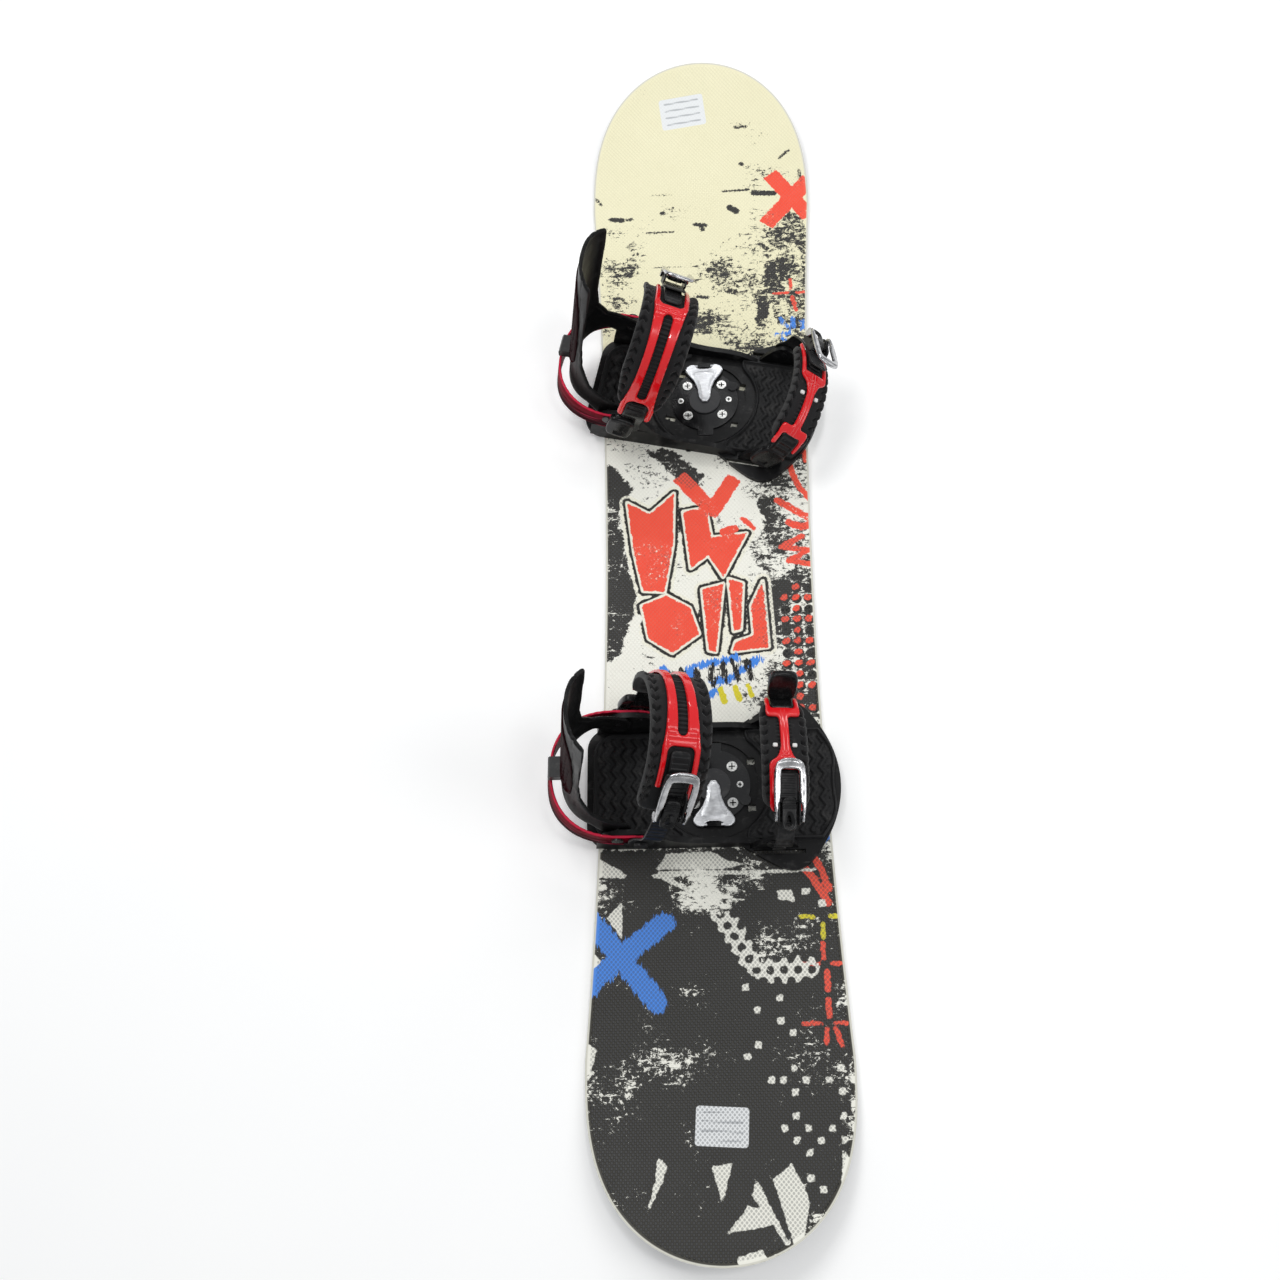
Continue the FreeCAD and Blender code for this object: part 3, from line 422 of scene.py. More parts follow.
def to_edge(x, y, start, end):
    """Distance to the straight edge from start to end."""
    (ax, ay), ex, ey = start, end[0] - start[0], end[1] - start[1]
    t = np.clip(((x - ax) * ex + (y - ay) * ey) / (ex * ex + ey * ey), 0, 1)
    return np.hypot(x - ax - ex * t, y - ay - ey * t)


def polygon(x, y, points):
    """Distance to a closed polygon."""
    inside = np.zeros(np.shape(x), bool)
    edges = list(zip(points, points[1:] + points[:1]))
    for (ax, ay), (bx, by) in edges:
        if ay != by:
            inside ^= ((ay > y) != (by > y)) & (x < ax + (bx - ax) * (y - ay) / (by - ay))
    distance = nearest([to_edge(x, y, a, b) for a, b in edges])
    return np.where(inside, -distance, distance)

# Screws are painted near black below 14.2 mm: painted shade in their recesses.

def stroke(x, y, points, radius):
    """Distance to a brush stroke along a few points."""
    return nearest([to_edge(x, y, a, b) for a, b in zip(points, points[1:])]) - radius


def bar(x, y, start, end, half):
    """Distance to a square-ended bar from start to end."""
    sx, sy = end[0] - start[0], end[1] - start[1]
    length = math.hypot(sx, sy)
    sx, sy = sx / length, sy / length
    along = (x - start[0]) * sx + (y - start[1]) * sy
    across = (y - start[1]) * sx - (x - start[0]) * sy
    return np.maximum(np.abs(along - length / 2) - length / 2, np.abs(across) - half)


def block(x, y, x0, x1, y0, y1, corner=0.0):
    """Distance to a rectangle with round corners."""
    dx = np.abs(x - (x0 + x1) / 2) - (x1 - x0) / 2 + corner
    dy = np.abs(y - (y0 + y1) / 2) - (y1 - y0) / 2 + corner
    return np.hypot(np.maximum(dx, 0), np.maximum(dy, 0)) + np.minimum(np.maximum(dx, dy), 0) - corner


def both(a, b, soft):
    """Overlap of two shapes with a rounded joint."""
    h = np.clip(0.5 - 0.5 * (b - a) / soft, 0, 1)
    return b + (a - b) * h + soft * h * (1 - h)


def either(a, b, soft):
    """Union of two shapes with a filleted joint."""
    return -both(-a, -b, soft)


def rounded(points, rounds=2, most=1e9):
    """Cuts the corners of a closed outline a few times, by a quarter of each edge or at most a length."""
    p = np.array(points, float)
    for _ in range(rounds):
        edge = np.roll(p, -1, 0) - p
        cut = edge * np.minimum(0.25, most / np.linalg.norm(edge, axis=1))[:, None]
        p = np.stack([p + cut, p + edge - cut], 1).reshape(-1, 2)
    return [tuple(q) for q in p]


class Curve:
    """Smooth curve through points, by distance along it."""

    def __init__(self, points, count=1200):
        p = np.array(points, float)
        knots = np.concatenate([[0], np.cumsum(np.linalg.norm(np.diff(p, axis=0), axis=1))])
        gaps = np.diff(knots)
        n = len(p)
        system = np.eye(n)
        right = np.zeros_like(p)
        for i in range(1, n - 1):
            system[i, i - 1:i + 2] = gaps[i - 1], 2 * (gaps[i - 1] + gaps[i]), gaps[i]
            right[i] = 6 * ((p[i + 1] - p[i]) / gaps[i] - (p[i] - p[i - 1]) / gaps[i - 1])
        bend = np.linalg.solve(system, right)
        t = np.linspace(0, knots[-1], count)
        i = np.clip(np.searchsorted(knots, t, side="right") - 1, 0, n - 2)
        h, a, b = gaps[i][:, None], (knots[i + 1] - t)[:, None], (t - knots[i])[:, None]
        self.points = (bend[i] * a ** 3 + bend[i + 1] * b ** 3) / (6 * h) + (
            p[i] / h - bend[i] * h / 6) * a + (p[i + 1] / h - bend[i + 1] * h / 6) * b
        self.runs = np.concatenate([[0], np.cumsum(np.linalg.norm(np.diff(self.points, axis=0), axis=1))])
        self.length = self.runs[-1]

    def at(self, run):
        run = np.asarray(run, float)
        return np.stack([np.interp(run, self.runs, values) for values in self.points.T], -1)

    def along(self, run):
        ahead = self.at(np.clip(run + 0.8, 0, self.length)) - self.at(np.clip(run - 0.8, 0, self.length))
        return ahead / np.maximum(np.linalg.norm(ahead, axis=-1, keepdims=True), 1e-9)


# ---- plate: a flat shape with thickness, bent into place ------------------
def edge_drop(depth, radius):
    """How far a rounded edge falls below the face at a depth inside the outline."""
    inner = np.clip(radius - depth, 0, radius)
    return radius - np.sqrt(np.maximum(radius * radius - inner * inner, 0))


def contour(field, span, step):
    """Grid cut along field = 0: points, faces and border edges."""
    (x0, x1), (y0, y1) = span
    nx, ny = (max(2, int(math.ceil((b - a) / step)) + 1) for a, b in span)
    xs, ys = np.linspace(x0, x1, nx), np.linspace(y0, y1, ny)
    gx, gy = np.meshgrid(xs, ys, indexing="ij")
    value = field(gx, gy)
    value = np.where(np.abs(value) < 1e-6, -1e-6, value)
    inside = value < 0
    number = np.full(value.shape, -1)
    number[inside] = np.arange(inside.sum())
    points = [np.stack([gx[inside], gy[inside], -value[inside]], 1)]
    count = int(inside.sum())
    crossings = []
    for axis in (0, 1):
        a = value[:-1] if axis == 0 else value[:, :-1]
        b = value[1:] if axis == 0 else value[:, 1:]
        cut = (a < 0) != (b < 0)
        t = np.clip(a / np.where(cut, a - b, 1), 0.08, 0.92)[cut]
        i, j = np.nonzero(cut)
        x = gx[i, j] + t * ((xs[1] - xs[0]) if axis == 0 else 0)
        y = gy[i, j] + t * ((ys[1] - ys[0]) if axis == 1 else 0)
        index = np.full(cut.shape, -1)
        index[cut] = count + np.arange(len(i))
        count += len(i)
        points.append(np.stack([x, y, np.zeros(len(i))], 1))
        crossings.append(index)
    full = inside[:-1, :-1] & inside[1:, :-1] & inside[1:, 1:] & inside[:-1, 1:]
    i, j = np.nonzero(full)
    faces = np.stack([number[i, j], number[i + 1, j], number[i + 1, j + 1], number[i, j + 1]], 1).tolist()
    some = inside[:-1, :-1] | inside[1:, :-1] | inside[1:, 1:] | inside[:-1, 1:]
    border = []
    along_x, along_y = crossings
    for i, j in zip(*np.nonzero(some & ~full)):
        ring = []
        corners = ((i, j), (i + 1, j), (i + 1, j + 1), (i, j + 1))
        sides = (along_x[i, j], along_y[i + 1, j], along_x[i, j + 1], along_y[i, j])
        for k in range(4):
            if inside[corners[k]]:
                ring.append((number[corners[k]], False))
            if inside[corners[k]] != inside[corners[(k + 1) % 4]]:
                ring.append((sides[k], True))
        faces.append([int(r[0]) for r in ring])
        for a, b in zip(ring, ring[1:] + ring[:1]):
            if a[1] and b[1]:
                border.append((int(a[0]), int(b[0])))
    return np.concatenate(points), faces, border


def plate(name, field, span, step, bottom, top, place, channels=None):
    """Solid inside field < 0; bottom and top are heights, or functions of (x, y, depth)."""
    points, faces, border = contour(field, span, step)
    x, y, depth = points.T
    low = bottom(x, y, depth) if callable(bottom) else np.full(len(x), float(bottom))
    high = top(x, y, depth) if callable(top) else np.full(len(x), float(top))
    high = np.maximum(high, low + 0.05)
    n = len(x)
    corners = np.concatenate([place(x, y, high), place(x, y, low)]) * MM
    rings = faces + [[v + n for v in reversed(face)] for face in faces]
    rings += [[b, a, a + n, b + n] for a, b in border]
    mesh = bpy.data.meshes.new(name)
    mesh.from_pydata(corners.tolist(), [], rings)
    attributes = {"depth": np.concatenate([depth, depth])}
    for key, values in (channels(x, y) if channels else {}).items():
        attributes[key] = np.concatenate([values, values])
    for key, values in attributes.items():
        kind, socket = ("FLOAT_VECTOR", "vector") if values.ndim == 2 else ("FLOAT", "value")
        mesh.attributes.new(key, kind, "POINT").data.foreach_set(socket, values.astype(np.float32).ravel())
    return tidy(mesh)


def tidy(mesh):
    """Outward normals, smooth except at sharp edges."""
    bm = bmesh.new()
    bm.from_mesh(mesh)
    bmesh.ops.recalc_face_normals(bm, faces=bm.faces)
    bm.to_mesh(mesh)
    bm.free()
    mesh.shade_smooth()
    mesh.set_sharp_from_angle(angle=math.radians(42))
    return mesh


def joined(name, meshes):
    """One mesh from several, with their attributes."""
    objects = [link(bpy.data.objects.new(name, mesh)) for mesh in meshes]
    if len(objects) > 1:
        with bpy.context.temp_override(active_object=objects[0], object=objects[0], selected_objects=objects,
                                       selected_editable_objects=objects):
            bpy.ops.object.join()
    return objects[0]


def piece(name, meshes, material, body, slot, *nodes):
    """Named visual piece that rides a body and stands for CAD nodes."""
    obj = joined(name, meshes if isinstance(meshes, list) else [meshes])
    paint(obj, material)
    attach(obj, body)
    if nodes:
        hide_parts(*nodes)
    return obj


def form(name, look, body, slot, node, *shape, channels=None):
    """Piece of a single plate; shape is plate's field, span, step, bottom, top and place."""
    return piece(name, plate(name, *shape, channels), look, body, slot, *([node] if node else []))


# ---- board topsheet -------------------------------------------------------
BOARD_LENGTH, WIDEST, WAIST = 1420.0, 268.0, 232.0
NOSE_Y, TAIL_Y = 511.0, -519.0            # widest points
NOSE_POWER, TAIL_POWER = 2.85, 2.73
NOSE_BEND, TAIL_BEND = (491.0, 219.0, 39.0), (-499.0, 211.0, 43.0)    # contact, reach, rise of the top
BOARD_TOP, TOPSHEET_LOW = 8.0, 7.2


def board_height(y):
    """Rise of the top face above its flat part."""
    rise = np.zeros_like(y)
    for side, (contact, reach, height) in ((1, NOSE_BEND), (-1, TAIL_BEND)):
        radius = (reach ** 2 + height ** 2) / (2 * height)
        past = np.clip((y - contact) * side, 0, reach + 2)
        rise += radius - np.sqrt(radius ** 2 - past ** 2)
    return rise


def half_width(y):
    """Half of the board's width: a waist between two rounded ends."""
    run = (NOSE_Y - TAIL_Y) / 2
    q = (y - (NOSE_Y + TAIL_Y) / 2) / run
    middle = (WAIST + (WIDEST - WAIST) * q * q) / 2
    nose = np.clip((y - NOSE_Y) / (BOARD_LENGTH / 2 - NOSE_Y), 0, 1)
    tail = np.clip((TAIL_Y - y) / (BOARD_LENGTH / 2 + TAIL_Y), 0, 1)
    ends = WIDEST / 2 * np.sqrt(np.maximum(1 - nose ** NOSE_POWER, 0))
    ends = ends * np.sqrt(np.maximum(1 - tail ** TAIL_POWER, 0))
    return np.where(np.abs(q) < 1, middle, ends)


def board_outline():
    turn = np.linspace(0, math.pi / 2, 70)[1:]
    nose_y = NOSE_Y + (BOARD_LENGTH / 2 - NOSE_Y) * np.cos(turn)
    tail_y = TAIL_Y - (BOARD_LENGTH / 2 + TAIL_Y) * np.cos(turn[::-1])
    middle_y = np.linspace(NOSE_Y, TAIL_Y, 60)[1:-1]
    y = np.concatenate([[BOARD_LENGTH / 2], nose_y, middle_y, tail_y, [-BOARD_LENGTH / 2]])
    x = half_width(y)
    return list(zip(x, y)) + list(zip(-x[-2:0:-1], y[-2:0:-1]))


# Abstract print, in board millimetres (x to the toe side, y to the nose).
BLACK_FIELDS = [
    [(-140, 168), (-108, 152), (-97, 136), (-84, 122), (-92, 104), (-104, 92), (-96, 60), (-90, 22), (-84, 2),
     (-78, -22), (-88, -44), (-94, -62), (-98, -80), (-110, -92), (-140, -100)],
    [(56, 96), (62, 110), (78, 106), (100, 114), (140, 134), (140, 64), (108, 44), (96, 14), (84, 4), (70, 4),
     (58, 18), (50, 36), (58, 52), (66, 72)],
    [(-72, 172), (-40, 172), (-14, 146), (-2, 132), (-14, 118), (-30, 124), (-46, 146)],
    [(56, 402), (64, 404), (72, 396), (78, 428), (90, 430), (92, 404), (100, 388), (104, 352), (96, 338),
     (88, 340), (84, 372), (78, 344), (70, 332), (62, 338), (66, 362), (60, 380)],
    [(66, 440), (74, 436), (88, 438), (94, 398), (120, 402), (122, 440), (110, 452), (96, 432)],
    [(98, 492), (112, 502), (124, 494), (128, 470), (118, 464), (112, 484)],
    [(-140, -304), (140, -304), (140, -720), (-140, -720)],
]
BLACK_MARKS = [
    ([(-112, 502), (-98, 500)], 3.2), ([(-92, 500), (-86, 501)], 2.0), ([(-62, 535), (-36, 535)], 0.7),
    ([(-68, 479), (-34, 479)], 1.2), ([(-8, 489), (6, 487)], 2.6), ([(0, 484), (2, 480)], 2.4),
    ([(-48, 508), (-47, 508)], 3.2), ([(52, 574), (53, 574)], 2.8), ([(66, 532), (92, 530)], 3.6),
    ([(36, 512), (44, 506)], 4.2), ([(28, 536), (62, 537)], 1.4), ([(100, 580), (112, 590)], 1.6),
    ([(46, 625), (60, 625)], 1.8), ([(30, 390), (40, 386)], 4.0), ([(72, 455), (80, 448)], 3.0),
    ([(58, 428), (94, 429)], 0.8), ([(112, 452), (124, 430)], 3.0), ([(-58, 427), (-14, 426)], 0.6),
    ([(124, 562), (126, 546)], 1.8), ([(-132, 534), (-124, 524)], 1.6), ([(-6, 382), (6, 380)], 2.2),
]
CREAM_MARKS = [
    [(-124, -312), (-92, -331), (-96, -335), (-124, -333)], [(-113, -376), (-97, -360), (-97, -398)],
    [(-62, -326), (-50, -309), (-4, -308), (14, -318), (34, -323), (0, -327)],
    [(-140, -402), (-118, -420), (-140, -440)],
    [(-74, -334), (-56, -328), (40, -329), (104, -328), (104, -331), (20, -333), (-48, -334), (-24, -350),
     (-28, -352), (-56, -336)],
    [(-10, -620), (10, -617), (0, -654)],
    [(48, -632), (66, -618), (76, -634), (82, -652), (74, -690), (66, -692)],
    [(32, -630), (62, -690), (58, -690), (28, -646)], [(4, -680), (24, -656), (42, -658), (48, -673)],
    [(12, -701), (36, -694), (42, -704), (16, -712)],
    [(-62, -612), (-52, -618), (-56, -632), (-72, -664), (-64, -634)],
    [(116, -606), (132, -622), (112, -640)], [(-140, -498), (-122, -508), (-128, -530), (-140, -540)],
    [(62, -350), (78, -350), (80, -362), (64, -360)], [(88, -348), (97, -348), (97, -355), (88, -355)],
    [(104, -361), (112, -361), (112, -368), (104, -368)],
]
RED_BLOCKS = [
    [(-92, 104), (-66, 88), (-38, 114), (-40, 48), (-50, -10), (-74, -8), (-84, 40)],
    [(-28, 90), (-2, 94), (4, 56), (44, 60), (16, 6), (0, 34), (-20, 18)],
    [(-76, -26), (-48, -14), (-22, -30), (-12, -62), (-42, -84), (-68, -66)],
    [(-8, -8), (16, -2), (6, -84), (-2, -82)], [(22, 4), (38, -2), (34, -58), (26, -60)],
    [(46, -30), (60, 0), (64, -80), (24, -84), (28, -72), (48, -66)],
]
RED_BARS = [
    ((88, 558), (134, 494), 10), ((80, 484), (136, 548), 10), ((-32, 136), (4, 92), 9),
    ((32, 132), (2, 84), 9),
]
RED_MARKS = [
    ([(86, 382), (103, 382)], 1.8), ([(107, 401), (107, 387)], 2.0), ([(114, 382), (124, 382)], 1.8),
    ([(108, 376), (112, 357)], 2.6), ([(95, 148), (104, 118), (118, 100)], 3.6),
    ([(80, 100), (98, 88), (118, 74)], 4.2), ([(92, 72), (104, 66), (118, 68)], 4.5),
    ([(118, 18), (90, 24), (112, 36), (82, 42), (106, 54)], 3.4),
    ([(86, -320), (100, -338), (115, -364)], 4.0), ([(98, -310), (108, -326), (116, -350)], 3.6),
    ([(107, -405), (107, -420)], 2.2), ([(85, -426), (102, -426)], 2.2), ([(115, -426), (124, -426)], 2.2),
    ([(110, -434), (110, -452)], 3.0), ([(110, -462), (110, -478)], 3.0), ([(84, -485), (102, -485)], 2.0),
    ([(116, -485), (128, -485)], 2.0), ([(107, -491), (106, -505)], 2.4), ([(116, -491), (121, -506)], 2.6),
    ([(18, 62), (30, 66)], 5.0), ([(112, 172), (114, 150)], 2.5), ([(40, 78), (52, 66)], 3.0),
]
BLUE_MARKS = [
    ([(-138, -368), (-100, -416), (-62, -462)], 11.0), ([(-134, -448), (-98, -416), (-54, -382)], 11.0),
    ([(93, 345), (102, 333)], 2.2), ([(107, 346), (107, 332)], 2.4), ([(85, 325), (104, 324)], 2.0),
    ([(118, 342), (119, 330)], 2.2), ([(94, 318), (103, 310)], 2.0), ([(107, 314), (112, 308)], 1.8),
    ([(110, -299), (122, -292)], 2.6), ([(-52, -104), (-38, -120), (-22, -104), (-14, -122)], 5.0),
    ([(-18, -100), (10, -96), (28, -92)], 4.5), ([(2, -120), (20, -116), (44, -100), (52, -94)], 4.5),
    ([(-2, -134), (8, -128)], 4.0),
]
INK_STROKES = [
    ([(-44, -106), (-38, -122)], 2.4), ([(-32, -104), (-24, -120)], 2.4), ([(-16, -104), (-12, -124)], 3.4),
    ([(0, -100), (2, -122)], 3.2), ([(12, -98), (16, -118)], 3.2), ([(24, -96), (30, -116)], 3.4),
    ([(38, -96), (44, -116)], 3.2),
]
YELLOW_MARKS = [
    ([(10, -128), (14, -142)], 3.4), ([(26, -126), (30, -140)], 3.4), ([(40, -124), (44, -137)], 2.6),
    ([(86, -378), (98, -378)], 2.4), ([(116, -378), (124, -378)], 2.4), ([(108, -386), (108, -400)], 2.2),
]
# Dry-brush patches: centre, reach, amount.
STREAKS = [
    ((-108, 425), 50, 0.3), ((-92, 388), 40, 0.3), ((0, 340), 44, 0.34), ((96, 455), 44, 0.16),
    ((-36, 500), 60, 0.2), ((80, 560), 56, 0.3), ((30, 410), 50, 0.24), ((60, 610), 50, 0.3),
    ((-90, 480), 50, 0.26), ((-112, -430), 40, 0.2), ((20, -345), 60, 0.3), ((-110, -540), 50, 0.3),
    ((70, -400), 70, 0.24), ((90, -530), 64, 0.3), ((-20, -350), 50, 0.3), ((0, -460), 60, 0.08),
]
LABELS = [((-20, 648), (56, 40), 7.0), ((1, -583), (52, 38), -3.0)]    # centre, size, turn in degrees
TILE, TILE_HALF, TILES_FROM = 11.4, 3.3, (16.0, -528.0)                # small squares on a grid
NET = [
    (-14, -366), (22, -372), (34, -398), (44, -424), (100, -414), (104, -440), (60, -448), (28, -436),
    (10, -404),
]
DOT_AT, DOT_PITCH, DOT_RADIUS = (84, -10), 13, 5.5                     # halftone dots near the toe edge
COLUMN_AT, COLUMN_PITCH = (-80, -42), 12                               # cream dots near the heel edge
HOLES_FROM, HOLE_PITCH, HOLE_RADIUS = (-10, -374), (14, 11.5), 4.5     # holes of the net
TILES = [
    (5, 0), (9, 0), (4, 1), (6, 1), (8, 1), (10, 1), (5, 2), (9, 2), (10, 3), (5, 4), (9, 4), (4, 5), (6, 5),
    (8, 5), (10, 5), (5, 6), (7, 6), (9, 6), (4, -4), (2, -5), (4, -6), (1, -7), (1, -10), (2, -9), (6, 7),
    (7, 10), (6, 9), (1, -1), (2, -2), (5, -3), (3, 1),
]


def label_shape(x, y, centre, size, turn, shrink=0.0):
    """Position up the turned label, and the distance to its outline."""
    c, s = math.cos(math.radians(turn)), math.sin(math.radians(turn))
    lx, ly = (x - centre[0]) * c + (y - centre[1]) * s, (y - centre[1]) * c - (x - centre[0]) * s
    half_x, half_y = size[0] / 2 - shrink, size[1] / 2 - shrink
    return ly, block(lx, ly, -half_x, half_x, -half_y, half_y, 3)


def halftone(x, y):
    """Round black dots, and the red moons printed on some of them."""
    black, red = [], []
    for j in range(12):
        for i in range(3):
            cx, cy = DOT_AT[0] + DOT_PITCH * i, DOT_AT[1] - DOT_PITCH * j
            black.append(np.hypot(x - cx, y - cy) - DOT_RADIUS)
            if (i + j) % 2 or i == 1:
                red.append(np.maximum(np.hypot(x - cx + 1.5, y - cy - 2.5) - 4.6, black[-1]))
    return nearest(black), nearest(red)


def cream_fields(x, y):
    """Scraps of bare cream: shards, small squares, a column of dots and a net full of holes."""
    shapes = [polygon(x, y, p) for p in CREAM_MARKS]
    for i, j in TILES:
        cx, cy = TILES_FROM[0] + TILE * i, TILES_FROM[1] - TILE * j
        shapes.append(block(x, y, cx - TILE_HALF, cx + TILE_HALF, cy - TILE_HALF, cy + TILE_HALF))
    for j in range(5):
        cx, cy = COLUMN_AT[0] - 3 * (j % 2), COLUMN_AT[1] - COLUMN_PITCH * j
        shapes.append(np.hypot(x - cx, y - cy) - DOT_RADIUS)
    holes = []
    for j in range(7):
        for i in range(9):
            cx, cy = HOLES_FROM[0] + HOLE_PITCH[0] * (i + (j % 2) / 2), HOLES_FROM[1] - HOLE_PITCH[1] * j
            holes.append(np.hypot(x - cx, y - cy) - HOLE_RADIUS)
    return nearest(shapes + [np.maximum(polygon(x, y, rounded(NET, 2)), -nearest(holes))])


def label_fields(x, y):
    """The paper labels, and the plain bars printed on them."""
    labels, bars = [], []
    for label in LABELS:
        up, shape = label_shape(x, y, *label)
        labels.append(shape)
        bars.append(np.maximum(label_shape(x, y, *label, shrink=5.0)[1], np.abs(np.mod(up, 9.0) - 4.5) - 1.2))
    return nearest(labels), nearest(bars)


def distress_field(x, y):
    """How worn and spattered the print is."""
    tail = smooth_step(-270, -320, y)
    nose = smooth_step(380, 560, y)
    distress = 0.62 - 0.36 * nose + 0.1 * tail * smooth_step(-420, -330, y) - 0.2 * tail
    distress = distress + 0.34 * smooth_step(10, 100, x) * smooth_step(620, 520, y) * (1 - tail)
    distress = distress + 0.5 * smooth_step(70, 0, np.hypot(x + 40, (y + 520) * 1.6))
    for (cx, cy), reach, amount in STREAKS:
        distress = distress + amount * smooth_step(reach, 0.3 * reach, np.hypot(x - cx, (y - cy) * 1.5))
    edge = np.abs(x) / np.maximum(half_width(y), 1)
    return distress + 0.25 * smooth_step(0.82, 1.0, edge) * tail


def print_fields(x, y):
    """Signed distances of every colour of the print, and where it is worn."""
    def strokes(marks):
        return nearest([stroke(x, y, points, radius) for points, radius in marks])

    blocks = nearest([polygon(x, y, p) for p in RED_BLOCKS])
    bars = nearest([bar(x, y, a, b, half) for a, b, half in RED_BARS])
    dots, moons = halftone(x, y)
    labels, label_ink = label_fields(x, y)
    return {
        "black": nearest([polygon(x, y, rounded(p, 1, 5.0)) for p in BLACK_FIELDS]),
        "hard_black": strokes(BLACK_MARKS), "dots": dots,
        "halo": blocks - 9.0, "outline": blocks - 5.6, "rim": blocks - 2.4,
        "red": nearest([blocks, bars, strokes(RED_MARKS), moons]), "blue": strokes(BLUE_MARKS),
        "yellow": strokes(YELLOW_MARKS), "stroke": strokes(INK_STROKES), "cream": cream_fields(x, y),
        "label": labels, "label_ink": label_ink, "distress": distress_field(x, y),
        "whiteness": smooth_step(330, 160, y), "flat": np.stack([x, y, 0 * x], 1),
    }


def make_topsheet():
    outline = board_outline()
    reach = BOARD_LENGTH / 2 + 4
    form("topsheet_graphic", topsheet_material(), "board", "topsheet_graphic", "board_topsheet",
         lambda x, y: polygon(x, y, outline), ((-138, 138), (-reach, reach)), 2.5,
         TOPSHEET_LOW, lambda x, y, d: BOARD_TOP - edge_drop(d, 0.7),
         lambda x, y, h: np.stack([x, y, h + board_height(y)], 1), channels=print_fields)


# ---- binding frames -------------------------------------------------------
STANCE_Y = {"front": 232.0, "rear": -238.0}
STANCE_TURN = {"front": -12.5, "rear": 0.0}


def seat_binding(u, v, z, end):
    """Binding coordinates (u to the toe, v to the outer side) to the board."""
    if end == "rear":
        v = -v
    c, s = math.cos(math.radians(STANCE_TURN[end])), math.sin(math.radians(STANCE_TURN[end]))
    return np.stack([u * c - v * s, u * s + v * c + STANCE_Y[end], z], -1)


def lean_about(u, z, pivot, degrees):
    """Turns a side-view point towards the toe about a pivot."""
    c, s = math.cos(math.radians(degrees)), math.sin(math.radians(degrees))
    du, dz = u - pivot[0], z - pivot[1]
    return pivot[0] + du * c + dz * s, pivot[1] - du * s + dz * c


# ---- straps ---------------------------------------------------------------
STRAP_V = 70.5
ANKLE_PIVOT = (-74.0, 58.0)
TOE_PIVOT = {"front": (82.0, 36.0), "rear": (66.0, 38.0)}
LEAN = {("front", "ankle"): 18.0, ("rear", "ankle"): 21.0, ("front", "toe"): 40.0, ("rear", "toe"): 9.0}


def arch(foot, *points):
    """Strap's arch (v, height): straight up from each bolt to the height foot, then through the points."""
    return [(-STRAP_V, 0), (-STRAP_V, foot), *points, (STRAP_V, foot), (STRAP_V, 0)]


ARCH = {
    ("front", "ankle"): arch(10, (-63, 57), (-44, 100), (0, 122), (45, 92), (65, 50)),
    ("rear", "ankle"): arch(10, (-72, 55), (-60, 108), (-20, 128), (15, 121), (55, 72), (68, 38)),
    ("front", "toe"): arch(8, (-63, 32), (-34, 53), (0, 58), (34, 49), (61, 27)),
    ("rear", "toe"): arch(8, (-67, 27), (-38, 43), (0, 47), (38, 43), (67, 27)),
}
PAD_THICKNESS, FRAME_THICKNESS, LADDER_THICKNESS = 9.0, 3.0, 2.4
BOLT_HEAD, BOLT_HOLE = 7.0, 3.2           # radii
# Cover plate of each link: run of its centre, tilt in degrees, and its shift along and across.
LINK_CAP = {("front", "ankle"): (7.0, 0.0, -7.0, 8.0), ("rear", "ankle"): (7.0, 0.0, -7.0, 8.0),
            ("front", "toe"): (9.0, 0.0, 0.0, 0.0), ("rear", "toe"): (30.0, 60.0, 18.0, 0.0)}
# Lengths run along the strap from its bolt; "pad" and "frame" are the gaps left at the two ends.
ANKLE = {
    "half": 31.0, "pad": (42.0, 76.0), "foot": 40.0, "full": 85.0, "frame": (30.0, 84.0), "frame_half": 19.0,
    "yoke": 26.0, "yoke_gap": 14.0, "fork": 62.0, "fork_gap": 14.0, "bar": 9.0, "link": 54.0,
    "link_half": 12.5, "climb": 40.0, "ladder": 142.0, "ladder_half": 10.0, "buckle": 103.0, "scale": 1.0,
}
TOE = {
    "half": 24.0, "pad": (32.5, 54.0), "foot": 18.0, "full": 42.0, "frame": (30.0, 50.0), "frame_half": 17.0,
    "yoke": 16.0, "yoke_gap": 12.5, "fork": 44.0, "fork_gap": 12.8, "bar": 7.0, "link": 46.0,
    "link_half": 11.5, "climb": 22.0, "ladder": 85.0, "ladder_half": 9.0, "buckle": 64.0, "scale": 0.9,
}


